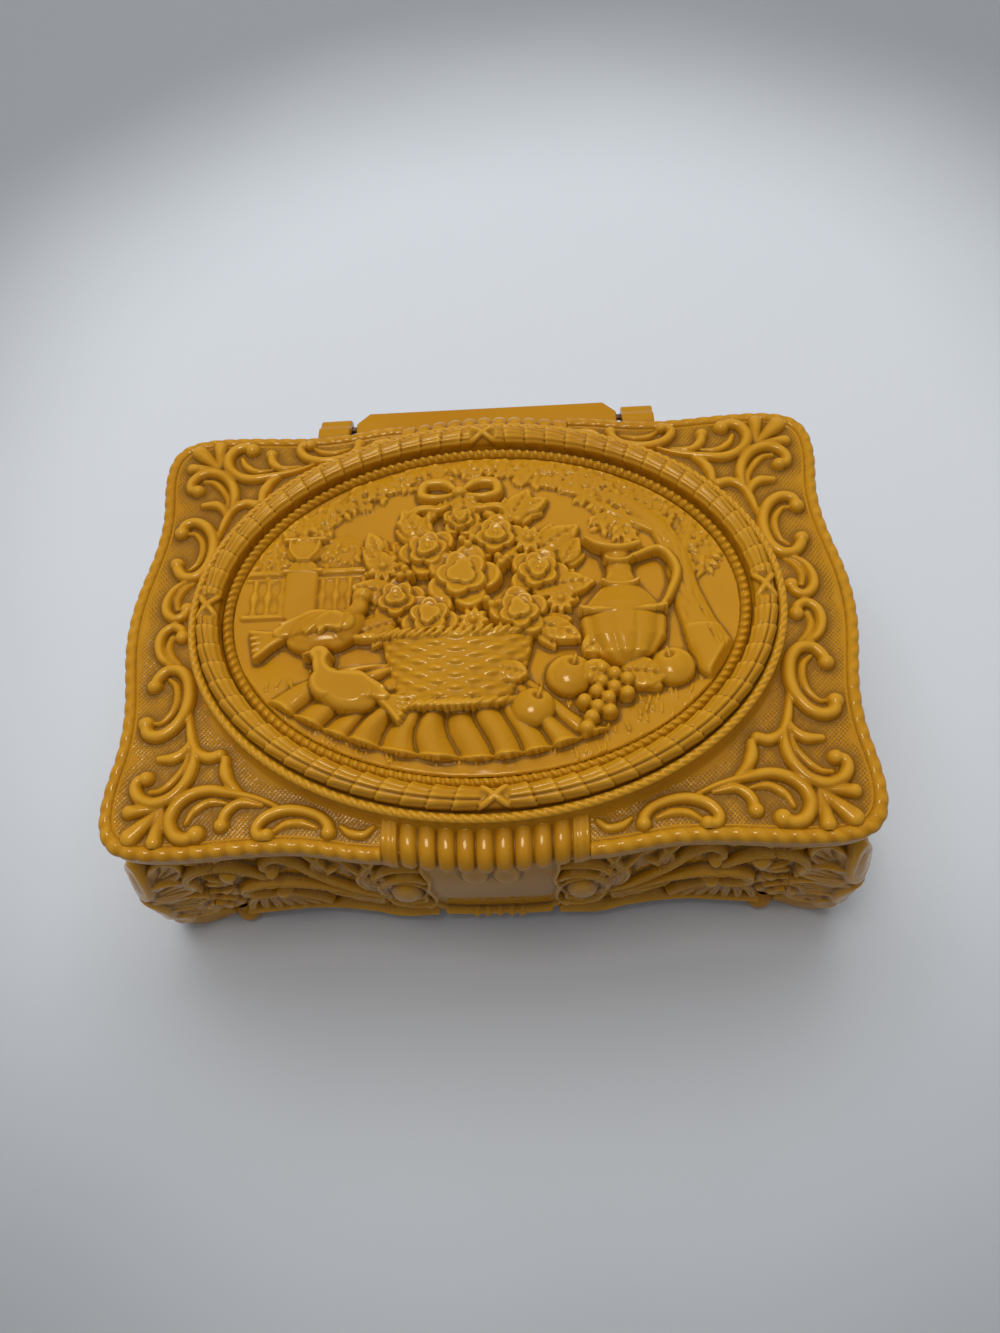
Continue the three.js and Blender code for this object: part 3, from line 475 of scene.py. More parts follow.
def ring_normals(grid):
    """Unit normals of a closed sheet, for panels that meet without a visible seam."""
    wide = np.concatenate([grid[:, -1:], grid, grid[:, :1]], 1)
    along = np.gradient(wide, axis=1)
    up = np.gradient(wide, axis=0)
    face = np.cross(along, up)
    face /= np.maximum(np.linalg.norm(face, axis=2, keepdims=True), 1e-9)
    return face[:, 1:-1]


def joined(name, pieces):
    """Several small meshes as one piece."""
    bpy.ops.object.select_all(action="DESELECT")
    for piece in pieces:
        piece.select_set(True)
    bpy.context.view_layer.objects.active = pieces[0]
    bpy.ops.object.join()
    pieces[0].name = name
    pieces[0].data.name = name
    return pieces[0]


# Shader node groups and materials

def node_group(name, inputs, outputs):
    """An empty shader group with named sockets, each given as name: (type, default)."""
    group = bpy.data.node_groups.new(name, "ShaderNodeTree")
    for label, (kind, value) in inputs.items():
        socket = group.interface.new_socket(label, in_out="INPUT", socket_type=kind)
        socket.default_value = value
    for label, kind in outputs.items():
        group.interface.new_socket(label, in_out="OUTPUT", socket_type=kind)
    start = group.nodes.new("NodeGroupInput")
    end = group.nodes.new("NodeGroupOutput")
    return group, start, end


def add(tree, kind, **settings):
    node = tree.nodes.new(kind)
    for key, value in settings.items():
        setattr(node, key, value)
    return node


def maths(tree, operation, first, second=None):
    """A maths node over sockets or plain numbers. Returns its output."""
    node = add(tree, "ShaderNodeMath", operation=operation)
    for socket, value in zip(node.inputs, (first, second)):
        if value is None:
            continue
        if isinstance(value, (int, float)):
            socket.default_value = value
        else:
            tree.links.new(value, socket)
    return node.outputs[0]


def noise(tree, place, scale, detail=3.0, rough=0.5):
    """Noise at a scale given in bumps per metre. Returns its output from 0 to 1."""
    node = add(tree, "ShaderNodeTexNoise")
    tree.links.new(place, node.inputs["Vector"])
    node.inputs["Scale"].default_value = scale
    node.inputs["Detail"].default_value = detail
    node.inputs["Roughness"].default_value = rough
    return node.outputs["Fac"]


def stretch(tree, value, low, high, to_low=0.0, to_high=1.0):
    node = add(tree, "ShaderNodeMapRange", interpolation_type="SMOOTHSTEP")
    tree.links.new(value, node.inputs["Value"])
    for label, number in (("From Min", low), ("From Max", high), ("To Min", to_low),
                          ("To Max", to_high)):
        node.inputs[label].default_value = number
    return node.outputs["Result"]


def blend(tree, share, first, second):
    """Mixes two colours. Returns its output."""
    node = add(tree, "ShaderNodeMix", data_type="RGBA")
    sockets = [s for s in node.inputs if s.enabled and s.type == "RGBA"]
    tree.links.new(share, node.inputs[0])
    for socket, value in zip(sockets, (first, second)):
        if isinstance(value, tuple):
            socket.default_value = value
        else:
            tree.links.new(value, socket)
    return [s for s in node.outputs if s.type == "RGBA"][0]


def wear_and_shade_group():
    """Where old plastic is dirty, rubbed or dusty, with painted shade in the hollows and painted
    highlight on the high places. It reads how hollow the carving is.
    """
    found = bpy.data.node_groups.get("Carving wear and shade")
    if found:
        return found
    group, start, end = node_group(
        "Carving wear and shade",
        {"Dirt": ("NodeSocketFloat", 1.0), "Rub": ("NodeSocketFloat", 1.0)},
        {"Dirt": "NodeSocketFloat", "Rub": "NodeSocketFloat", "Dust": "NodeSocketFloat"})
    hollow = add(group, "ShaderNodeAttribute", attribute_name="hollow").outputs["Fac"]
    place = add(group, "ShaderNodeTexCoord").outputs["Object"]
    patches = noise(group, place, 70, 4)
    fine = noise(group, place, 420, 3)
    uneven = maths(group, "ADD", maths(group, "MULTIPLY", patches, 0.24),
                   maths(group, "MULTIPLY", fine, 0.12))
    level = maths(group, "ADD", hollow, maths(group, "SUBTRACT", uneven, 0.18))
    # Dirt and painted shade: darker the more hollow a place lies
    dirt_and_shade = maths(group, "MULTIPLY", stretch(group, level, 0.55, 0.86), start.outputs["Dirt"])
    # Rubbed wear and painted highlight: lighter the higher a place stands
    rub_and_highlight = maths(group, "MULTIPLY", stretch(group, level, 0.42, 0.16), start.outputs["Rub"])
    dust = maths(group, "MULTIPLY", stretch(group, fine, 0.5, 0.72),
                 stretch(group, level, 0.55, 0.72))
    for value, label in ((dirt_and_shade, "Dirt"), (rub_and_highlight, "Rub"), (dust, "Dust")):
        group.links.new(value, end.inputs[label])
    return group


def grain_group():
    """Slow colour drift of cast plastic, and the fine unevenness of its surface."""
    found = bpy.data.node_groups.get("Cast grain")
    if found:
        return found
    group, start, end = node_group(
        "Cast grain", {"Scale": ("NodeSocketFloat", 1.0)},
        {"Drift": "NodeSocketFloat", "Height": "NodeSocketFloat", "Scuff": "NodeSocketFloat"})
    place = add(group, "ShaderNodeTexCoord").outputs["Object"]
    sized = add(group, "ShaderNodeVectorMath", operation="SCALE")
    group.links.new(place, sized.inputs[0])
    group.links.new(start.outputs["Scale"], sized.inputs["Scale"])
    place = sized.outputs[0]
    drift = stretch(group, noise(group, place, 26, 2), 0.3, 0.7)
    ripple = noise(group, place, 160, 2)
    pores = noise(group, place, 1100, 3)
    height = maths(group, "ADD", ripple, maths(group, "MULTIPLY", pores, 0.3))
    scuff = stretch(group, noise(group, place, 300, 4, 0.65), 0.42, 0.75)
    for value, label in ((drift, "Drift"), (height, "Height"), (scuff, "Scuff")):
        group.links.new(value, end.inputs[label])
    return group


def placed(tree, group, **values):
    node = add(tree, "ShaderNodeGroup", node_tree=group)
    for label, value in values.items():
        node.inputs[label].default_value = value
    return node


def new_material(name):
    material = bpy.data.materials.new(name)
    material.use_nodes = True
    return material, material.node_tree, material.node_tree.nodes["Principled BSDF"]


def bump(tree, height, strength, distance, shader):
    node = add(tree, "ShaderNodeBump")
    node.inputs["Strength"].default_value = strength
    node.inputs["Distance"].default_value = distance
    tree.links.new(height, node.inputs["Height"])
    tree.links.new(node.outputs["Normal"], shader.inputs["Normal"])


def celluloid():
    """Butterscotch plastic: glossy where it stands out, and lighter there with rubbed wear and
    painted highlight; brown and dull in the hollows, with grime and painted shade.
    """
    material = bpy.data.materials.get("amber_celluloid")
    if material:
        return material
    material, tree, shader = new_material("amber_celluloid")
    wear_and_shade = placed(tree, wear_and_shade_group(), Dirt=0.8, Rub=0.75)
    grain = placed(tree, grain_group(), Scale=1.0)
    amber = rgba("amber")
    deep = tuple(c * s for c, s in zip(amber, (0.9, 0.84, 0.74, 1.0)))
    base = blend(tree, grain.outputs["Drift"], amber, deep)
    # High places lightened: rubbed wear and painted highlight
    rubbed_and_lit = blend(tree, wear_and_shade.outputs["Rub"], base, rgba("amber_rub_and_highlight"))
    # Hollows darkened towards grime brown: dirt and painted shade
    dirty_and_shaded = blend(tree, wear_and_shade.outputs["Dirt"], rubbed_and_lit, rgba("grime_and_shade"))
    dust = maths(tree, "MULTIPLY", wear_and_shade.outputs["Dust"], 0.1)
    tree.links.new(blend(tree, dust, dirty_and_shaded, rgba("bloom")), shader.inputs["Base Color"])
    rough = maths(tree, "ADD", maths(tree, "MULTIPLY", wear_and_shade.outputs["Dirt"], 0.22),
                  maths(tree, "MULTIPLY", grain.outputs["Scuff"], 0.09))
    rough = maths(tree, "ADD", rough, maths(tree, "MULTIPLY", wear_and_shade.outputs["Dust"], 0.2))
    tree.links.new(maths(tree, "ADD", rough, 0.13), shader.inputs["Roughness"])
    shader.inputs["IOR"].default_value = 1.5
    shader.inputs["Specular IOR Level"].default_value = 0.42
    shader.inputs["Specular Tint"].default_value = (1.0, 0.85, 0.58, 1.0)
    bump(tree, grain.outputs["Height"], 0.45, 0.00012, shader)
    return material


def browned_steel():
    """Old steel pins with a brown skin and brighter scratches."""
    material, tree, shader = new_material("browned_steel")
    grain = placed(tree, grain_group(), Scale=3.0)
    bright = (0.36, 0.27, 0.2, 1.0)
    tree.links.new(blend(tree, grain.outputs["Scuff"], rgba("steel"), bright),
                   shader.inputs["Base Color"])
    shader.inputs["Metallic"].default_value = 0.85
    rough = maths(tree, "ADD", maths(tree, "MULTIPLY", grain.outputs["Drift"], 0.2), 0.38)
    tree.links.new(rough, shader.inputs["Roughness"])
    bump(tree, grain.outputs["Height"], 0.4, 0.00008, shader)
    return material


def velvet():
    """Short wine-red pile that catches light at its edges and shows brushed patches."""
    material = bpy.data.materials.get("wine_velvet")
    if material:
        return material
    material, tree, shader = new_material("wine_velvet")
    place = add(tree, "ShaderNodeTexCoord").outputs["Object"]
    brushed = stretch(tree, noise(tree, place, 55, 3), 0.35, 0.68)
    tufts = noise(tree, place, 2600, 2, 0.7)
    pile = rgba("pile")
    light = tuple(min(1.0, c * 1.9) for c in pile[:3]) + (1.0,)
    dark = tuple(c * 0.6 for c in pile[:3]) + (1.0,)
    broad = blend(tree, brushed, pile, light)
    tree.links.new(blend(tree, stretch(tree, tufts, 0.62, 0.4), broad, dark),
                   shader.inputs["Base Color"])
    shader.inputs["Roughness"].default_value = 0.95
    shader.inputs["Sheen Weight"].default_value = 0.7
    shader.inputs["Sheen Roughness"].default_value = 0.35
    shader.inputs["Sheen Tint"].default_value = (1.0, 0.45, 0.5, 1.0)
    bump(tree, tufts, 0.8, 0.0003, shader)
    return material


FINISHES = {"celluloid": celluloid, "velvet": velvet}


# Walls of the body

# The wall's section: inset from the lid's outline, height above the table, and how far
# the corners are drawn out there
WALL_SECTION = [(2.1, 0, 0.66), (2.1, 3, 0.7), (2.3, 6.6, 0.78), (1.7, 15, 0.92),
                (1.2, 20.5, 0.96), (0.9, 29, 0.86), (1.25, 36, 0.55), (2.1, 41, 0.26),
                (3.1, 46, 0.05), (3.3, 51.4, 0.0)]
CORNER = 78.2  # from the middle of the front to the corner's, along the lid's outline
CORNER_BULGE, CORNER_FADE = 3.9, 6.5
WALL_TOP = 51.4
WALL_STEP = 0.34
GROUND_SINK = 0.9  # the matted ground lies this far inside the wall's section
WALL_DEPTH = 1.2  # how boldly the walls are carved
FLOOR_TOP = 9.3
FLOOR_UNDER = 6.8
SKIRT_INSET = 5.7  # inner face of the skirt below the floor
RIM_INSET, FLOOR_INSET = 5.7, 8.0  # inner face of the walls, at the rim and at the floor
FRONT_GAP, END_GAP = 65.5, 39.0  # half the gap between two feet, on each side
APRON, SWAG = 5.2, 1.6  # height of the walls' lower edge there, and how far it waves
TOE_INSET, TOE_SHIFT = 3.1, 2.3  # a toe's middle, from the outline and from the gap's end
TOE_RADIUS = 3.3


def wall_inset(z, along):
    """The section's inset. The corners bulge out past the lid's outline."""
    line = smooth_line(WALL_SECTION)
    plain = np.interp(z, line[:, 1], line[:, 0])
    near = np.exp(-((along - CORNER) / CORNER_FADE) ** 2)
    bulge = np.interp(z, line[:, 1], line[:, 2]) * near
    return plain - bulge * (CORNER_BULGE + plain)


def apron_height(point):
    """Height of the body's lower edge: swags between the feet, and the floor at them."""
    x, y = np.abs(point[:, 0]), np.abs(point[:, 1])
    long_side = APRON - SWAG / 2 * (1 + np.cos(4 * np.pi * x / FRONT_GAP))
    end = APRON - SWAG / 2 * (1 + np.cos(2 * np.pi * y / END_GAP))
    on_long = y > mm("lid_depth") / 2 - 8
    return np.where(on_long & (x < FRONT_GAP), long_side,
                    np.where(~on_long & (y < END_GAP), end, 0.0))


def acanthus(carving, root, tips, width, rise, bend=0.18):
    """Leaves that fan out of one root, each a long ridge with a vein cut in it."""
    root = np.array(root, float)
    for tip in tips:
        tip = np.array(tip, float)
        run = tip - root
        side = np.array([-run[1], run[0]]) * bend * (1 if run[0] > 0 else -1)
        line = [root, root + run * 0.5 + side, tip]
        carving.ridge(line, width, rise, ends=(0.3, 0.8, 1, 0.75, 0.2))
        carving.ridge(line, width * 0.28, rise * 0.3, ends=(0.5, 1, 0.2), way="cut")


def scroll(carving, points, width, rise, ends=(0.6, 1, 1, 1), knob=0.0, groove=0.0):
    """A raised scroll, with a groove along it and a knob of that radius where it ends."""
    carving.ridge(points, width, rise, ends=ends)
    if groove:
        carving.ridge(points, width * 0.34, groove, ends=(0.4, 1, 1, 0.5), way="cut")
    if knob:
        x, y = points[-1]
        carving.dome(x, y, knob, knob, rise * 1.15)


def rose(carving, x, y, radius, rise, base=0.0, turn=0.0):
    """An open rose: three rings of turned petals round a bud."""
    rings = [(5, 0.56, 0.50, 0.46, 0.0), (5, 0.34, 0.38, 0.34, 0.34),
             (3, 0.15, 0.27, 0.25, 0.64)]
    for number, (count, out, long, broad, up) in enumerate(rings):
        for k in range(count):
            angle = turn + 360 * k / count + 38 * number
            c, s = math.cos(math.radians(angle)), math.sin(math.radians(angle))
            carving.petal(x + radius * out * c, y + radius * out * s, angle, radius * long,
                          radius * broad, rise * 0.36, base + rise * up, edge=rise * 0.09)
    carving.dome(x, y, radius * 0.17, radius * 0.17, rise * 0.3, base=base + rise * 0.74)
    curl = [(x + radius * 0.1 * math.cos(t), y + radius * 0.1 * math.sin(t))
            for t in np.linspace(0, 4.5, 6)]
    carving.ridge(curl, radius * 0.08, rise * 0.1, way="cut")


def wall_carving():
    """The rococo carving over one quarter of the wall: along it from the middle of the
    front to the middle of the end, and up from the table."""
    quarter = arc_length(quarter_outline(0))[-1]
    corner = CORNER
    c = Carving(0, quarter + 0.5, 0, WALL_TOP + 0.5, WALL_STEP * 0.75)
    w, z = np.meshgrid(c.x, c.y)
    matt = soft_noise(c.height.shape, 1.6, 3) * 0.07 + soft_noise(c.height.shape, 4, 4) * 0.05

    # Front: the leaf scrolls between the cartouche and the corner
    acanthus(c, (26, 22), [(20.5, 42), (24, 44), (28, 43.5), (32, 41)], 3.2, 1.3)
    acanthus(c, (27, 20), [(27, 9), (32, 8.5), (37, 10.5), (40.5, 15)], 3.4, 1.3, bend=-0.12)
    scroll(c, [(23, 20), (28, 24), (34, 29), (39, 35), (42.5, 40.5), (46.5, 42.5), (49.5, 40),
               (48, 37)], 2.3, 1.6, ends=(0.5, 1, 1, 0.9, 0.8), knob=1.7, groove=0.5)
    acanthus(c, (37, 33), [(33, 38.5), (36.5, 43), (41, 44)], 2.6, 1.1)
    scroll(c, [(27, 19), (33, 23), (39, 27), (46, 30.8), (52.5, 31), (56.3, 28.4), (56.2, 24.2),
               (52.4, 22), (48.8, 23.4)], 2.5, 1.9, ends=(0.5, 0.9, 1.1, 1.1, 0.9), knob=2.2,
           groove=0.55)
    for k in range(7):
        share = k / 6
        tip = (41.5 + 19 * share, 9.2 - 2.6 * math.sin(math.pi * share))
        root = (49.0 + 5.5 * share, 20.5 - 1.2 * abs(share - 0.5))
        middle = ((tip[0] + root[0]) / 2 + (share - 0.5) * 2.2, (tip[1] + root[1]) / 2)
        c.ridge([root, middle, tip], 3.1, 1.7, ends=(0.4, 0.8, 1.05, 1))
        c.ridge([root, middle, tip], 0.9, 0.4, ends=(0.3, 0.8, 1, 0.4), way="cut")
    scroll(c, [(50, 33.5), (52, 37), (56, 40.6), (61, 41.5), (65.5, 39), (67.7, 34.5),
               (66.4, 29)], 2.4, 1.7, ends=(0.6, 1, 1.1, 1, 0.6), groove=0.5)
    c.dome(57.5, 37.3, 2.3, 2.3, 1.9)
    acanthus(c, (60, 41), [(55, 45.5), (60.5, 46.5), (65.5, 46), (69.5, 43.5)], 2.6, 1.2)
    acanthus(c, (59, 30), [(60.5, 36.5), (64, 35), (65, 31)], 2.2, 1.0)
    rose(c, 65.5, 17.5, 8.3, 2.1, turn=20)
    for k in range(5):
        c.leaf(65.5 + 5 * math.cos(k * 1.26 + 0.9), 17.5 + 5 * math.sin(k * 1.26 + 0.9),
               math.degrees(k * 1.26 + 0.9), 6.5, 2.4, 1.0)

    # Cabochon beside the cartouche, in its own scrolls
    scroll(c, [(14.6, 34), (17, 36.6), (21.3, 36.2), (24.6, 32), (25.3, 27), (24, 22)],
           2.0, 1.6, ends=(0.7, 1, 1, 0.7), groove=0.4)
    scroll(c, [(15, 39.8), (18, 41.6), (22, 40.8), (25, 38)], 1.7, 1.4, knob=1.2)
    scroll(c, [(25, 20.5), (23.2, 16), (19.5, 12.4), (16, 12.4)], 2.0, 1.5, knob=1.8)
    scroll(c, [(16.2, 22), (16.4, 18), (19.6, 16.6)], 1.5, 1.2, knob=1.1)
    c.dome(19.6, 27, 3.9, 6.6, 2.5)
    ring = [(19.6 + 4.5 * math.cos(t), 27 + 7.3 * math.sin(t))
            for t in np.linspace(0, 2 * math.pi, 17)]
    c.ridge(ring, 1.1, 1.1)

    # Corner: broad leaves with thin turned edges, which clasp it over a smooth foot
    c.dome(corner, 3.0, 12.0, 5.0, 1.4, power=0.35)
    for side in (-1, 1):
        for along, up, turn, long, broad, base in (
                (7.0, 39.5, 50, 5.8, 4.0, 0.2), (6.2, 31.5, 22, 6.8, 4.6, 0.4),
                (6.8, 22.5, -14, 7.4, 5.2, 0.5), (5.6, 14.5, -46, 6.8, 4.6, 0.7)):
            angle = turn if side > 0 else 180 - turn
            x, y = corner + side * along, up
            c.petal(x, y, angle, long, broad, 0.7, base=base, edge=0.45)
            a = math.radians(angle)
            for bend in (-1, 0, 1):
                c.ridge([(x - long * 0.7 * math.cos(a), y - long * 0.7 * math.sin(a)),
                         (x + bend * 1.6 * math.sin(a), y - bend * 1.6 * math.cos(a)),
                         (x + long * 0.6 * math.cos(a) + bend * 2.6 * math.sin(a),
                          y + long * 0.6 * math.sin(a) - bend * 2.6 * math.cos(a))],
                        0.8, 0.35, ends=(0.4, 1, 0.3), way="cut")
    c.petal(corner, 34.5, 90, 9.0, 3.6, 0.8, base=0.7, edge=0.4)
    c.petal(corner, 18.5, -90, 8.0, 3.8, 0.8, base=1.0, edge=0.4)
    c.petal(corner, 11.0, -90, 5.2, 5.6, 0.7, base=1.0, edge=0.5)

    # End: a shell over a cartouche, with scrolls to each side
    middle = quarter
    for k in range(6):
        angle = math.radians(90 + k * 17)
        tip = (middle + 12.5 * math.cos(angle), 28 + 12.5 * math.sin(angle))
        c.ridge([(middle, 26.5), tip], 3.3, 2.0, ends=(0.4, 0.8, 1.1, 1))
    c.dome(middle, 18, 7.5, 7.0, 2.2)
    ring = [(middle + 8.6 * math.cos(t), 18 + 8.2 * math.sin(t))
            for t in np.linspace(0, 2 * math.pi, 17)]
    c.ridge(ring, 1.6, 1.5)
    scroll(c, [(middle - 4, 9), (middle - 11, 8.6), (middle - 16.5, 12), (middle - 18.5, 18.5),
               (middle - 15.5, 23.5), (middle - 11.8, 22)], 2.4, 1.7, knob=2.0, groove=0.5)
    scroll(c, [(middle - 12.5, 28), (middle - 16.5, 34), (middle - 22, 38.5),
               (middle - 27.5, 37.5), (middle - 28, 32.5), (middle - 24.6, 31.5)],
           2.4, 1.7, knob=1.9, groove=0.5)
    acanthus(c, (middle - 18, 36), [(middle - 9, 42.5), (middle - 15, 45),
                                    (middle - 21, 45.5), (middle - 27, 44)], 2.8, 1.2)
    rose(c, middle - 28, 20.5, 6.6, 2.0, turn=50)
    acanthus(c, (middle - 26, 14), [(middle - 20, 7.5), (middle - 26, 6.8),
                                    (middle - 32, 8.5), (middle - 35.5, 12)], 3.0, 1.2)
    acanthus(c, (middle - 31, 25), [(middle - 36, 29), (middle - 36.5, 34),
                                    (middle - 34, 38)], 2.8, 1.1)

    c.height += matt * (c.height < 0.05)
    # The smooth cartouche of the front, with its beaded lower border
    frame_line = [(0, 5.9), (7, 6.1), (12.4, 7.6), (14.6, 12), (13.8, 20), (14.4, 28),
                  (13.6, 35), (14.6, 41), (13.4, 46.5)]
    inside = w < np.interp(z, [p[1] for p in frame_line[1:]], [p[0] for p in frame_line[1:]])
    panel = inside & (z > 6.2)
    crown = 0.55 + 0.35 * np.sqrt(np.clip(1 - (w / 16) ** 2, 0, 1))
    c.height = np.where(panel, crown, c.height)
    c.ridge(frame_line, 1.3, 0.7, base=0.6)
    c.ridge(frame_line[:3], 1.8, 1.1, base=0.9)
    for side_w in (0.0, 2.9, 5.5):
        c.dome(side_w, 6.0, 1.35, 1.35, 1.5, base=0.9)
    c.dome(3.4, 38.5, 3.0, 4.8, 1.1, base=0.75, power=0.3)

    # Lower border along the apron, drip beads, and a calm band under the lid
    c.ridge([(15, 6.6), (24, 5.6), (32, 6.8), (48, 6.2), (62, 6.4)], 1.8, 1.9)
    for drip, low in ((30, 5.6), (47, 6.0)):
        c.dome(drip, low, 2.0, 2.3, 1.5)
    c.crisp(1.1, 0.45)
    fade = np.clip((48.5 - z) / 2.5, 0, 1)
    c.height = c.height * fade + GROUND_SINK / WALL_DEPTH * (1 - fade)
    c.height = np.where(z < 1.2, np.minimum(c.height, 0.3 + z), c.height)
    return c


def wall_grid():
    """Points of the whole carved wall, how hollow each is, and the wall's lower edge."""
    point, out, fold = lid_loop(WALL_STEP)
    low = apron_height(point)
    rows = int(WALL_TOP / WALL_STEP)
    share = np.linspace(0, 1, rows)[:, None]
    z = low + share * (WALL_TOP - low)
    carved = wall_carving()
    rise = WALL_DEPTH * carved.sample(np.broadcast_to(fold, z.shape), z) - GROUND_SINK
    inset = wall_inset(z, fold) - rise
    grid = np.stack([point[:, 0] - inset * out[:, 0], point[:, 1] - inset * out[:, 1], z], -1)
    carved.height = carved.hollows(1.2, 0.5)
    hollow = carved.sample(np.broadcast_to(fold, z.shape), z)
    return grid, hollow, fold


class TRINKET_OT_walls(bpy.types.Operator):
    """The four carved walls of the body"""
    bl_idname = "trinket.walls"
    bl_label = "Carved walls"

    def execute(self, context):
        grid, hollow, fold = wall_grid()
        normals = ring_normals(grid)
        count = grid.shape[1]
        quarter = count // 4
        corner = int(np.argmin(np.abs(np.abs(fold[:quarter]) - CORNER)))
        spans = {"wall_right": (-corner, corner),
                 "wall_back": (corner, 2 * quarter - corner),
                 "wall_left": (2 * quarter - corner, 2 * quarter + corner),
                 "wall_front": (2 * quarter + corner, 4 * quarter - corner)}
        for name, (start, end) in spans.items():
            pick = np.arange(start, end + 1) % count
            piece = grid_piece(name, grid[:, pick], "base", "celluloid",
                               hollow[:, pick], normals=normals[:, pick])
            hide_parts("base_shell")
        self.build_tray(grid[0])
        self.build_toes()
        self.build_shelf()
        return {"FINISHED"}

    def build_tray(self, lower_edge):
        """Rim, inner walls and floor above, and the skirt's underside below."""
        point, out, _ = lid_loop(PLAIN_STEP)
        rim = rounded([(3.3, WALL_TOP - 0.6), (3.3, WALL_TOP), (RIM_INSET, WALL_TOP),
                       (RIM_INSET + 0.1, WALL_TOP - 2)], 0.5)
        wall = [(RIM_INSET + 0.5, 42), (RIM_INSET + 1.1, 32), (RIM_INSET + 1.7, 20),
                (FLOOR_INSET - 0.1, FLOOR_TOP + 1.2), (FLOOR_INSET + 0.3, FLOOR_TOP + 0.3),
                (FLOOR_INSET + 1.2, FLOOR_TOP), (FLOOR_INSET + 12, FLOOR_TOP)]
        grid_piece("tray_inside", swept(point, out, [*rim, *wall]), "base", "celluloid",
                   ring=True, caps=(-1,))
        low = apron_height(point)
        angle = np.arctan2(lower_edge[:, 1], lower_edge[:, 0])
        order = np.argsort(angle)
        here = np.arctan2(point[:, 1], point[:, 0])
        edge = np.stack([np.interp(here, angle[order], lower_edge[order, k],
                                   period=2 * np.pi) for k in (0, 1)], 1)
        inner = point - SKIRT_INSET * out
        rows = [np.column_stack([edge, low]), np.column_stack([inner, low]),
                np.column_stack([inner, np.full(len(low), FLOOR_UNDER - 0.4)]),
                np.column_stack([point - (SKIRT_INSET + 0.5) * out,
                                 np.full(len(low), FLOOR_UNDER)])]
        grid_piece("body_underside", np.array(rows), "base", "celluloid",
                   ring=True, caps=(-1,), flip=False)

    def build_toes(self):
        """A turned toe under each end of every gap between the feet."""
        radius, sides = TOE_RADIUS, 28
        profile = [(0.9, 0.0), (1.6, 0.12)]
        for k in range(1, 12):
            turn = -0.85 + k / 11 * 2.0
            profile.append((radius * math.cos(turn), radius * (0.8 + math.sin(turn))))
        profile += [(radius * 0.36, 6.0), (radius * 0.5, 7.4), (radius * 0.5, 8.8)]
        turn = np.arange(sides) / sides * 2 * math.pi
        toes = []
        spots = [(FRONT_GAP - TOE_SHIFT, mm("lid_depth") / 2 - TOE_INSET),
                 (mm("lid_length") / 2 - mm("lobe_inset") - TOE_INSET, END_GAP - TOE_SHIFT)]
        for sx in (-1, 1):
            for sy in (-1, 1):
                for x, y in spots:
                    rows = [np.column_stack([sx * x + r * np.cos(turn),
                                             sy * y + r * np.sin(turn),
                                             np.full(sides, z)]) for r, z in profile]
                    toes.append(grid_piece("toe", np.array(rows), "base", "celluloid",
                                           ring=True, caps=(0,)))
        joined("toes", toes)

    def build_shelf(self):
        """The plain shelf behind the lid, which holds the hinge pins."""
        half, chamfer, back = 34.1, 3.4, 66.0
        top, edge, depth, soft = 49.5, 2.2, 8.5, 0.5
        wall = mm("lid_depth") / 2 - mm("hollow_depth") - 4.5
        x = np.concatenate([np.linspace(-half, -half + 0.5, 4),
                            np.linspace(-half + 0.8, -half + chamfer, 10),
                            np.linspace(-half + chamfer + 0.5, half - chamfer - 0.5, 60),
                            np.linspace(half - chamfer, half - 0.8, 10),
                            np.linspace(half - 0.5, half, 4)])
        reach = np.minimum(back, back + (half - chamfer - np.abs(x)))
        round_end = 0.5 - np.sqrt(np.clip(0.25 - np.clip(0.5 - (half - np.abs(x)), 0, 1) ** 2,
                                          0, 1))
        cols = []
        for px, far, drop in zip(x, reach, round_end):
            section = [(wall, top - drop), (far - 4, top - drop), (far - soft, top - drop),
                       (far - soft * 0.3, top - drop - soft * 0.3), (far, top - soft),
                       (far, top - edge + soft), (far - soft * 0.4, top - edge)]
            for t in np.linspace(0.06, 1, 12):
                a, b, e = (far, top - edge), (60.5, top - depth * 0.8), (wall, top - depth)
                section.append(tuple((1 - t) ** 2 * np.array(a) + 2 * t * (1 - t) * np.array(b)
                                     + t * t * np.array(e)))
            cols.append([(px, y, z) for y, z in section])
        grid_piece("hinge_shelf", np.array(cols), "base", "celluloid", caps=(0, -1),
                   flip=True)


# Lid

ROPE_STEP = 0.3
ROPE_RADIUS = 1.52
ROPE_INSET, ROPE_DROP = 1.95, 1.1  # the rim rope's middle, from the outline and the field
GADROONS = 9
GADROON_POST = 3.7  # width of the plain post at each end of the row
GADROON_FRONT = 57.45  # front of the row's middle, from the lid's middle
FRONT_TIE = 2.9  # the front ribbon crossing stands this far right of the middle


def rope(across, along, pitch, height, slant=0.35, low=0.4):
    """Height of a row of slanted beads: across runs from -1 to 1 over its width."""
    phase = 2 * ((along / pitch + slant * across) % 1.0) - 1
    bead = np.sqrt(np.clip(1 - (phase / 0.94) ** 2 - (across / 0.97) ** 2, 0, 1)) ** 0.8
    core = low * np.sqrt(np.clip(1 - across ** 2, 0, 1))
    return height * np.maximum(core, bead)


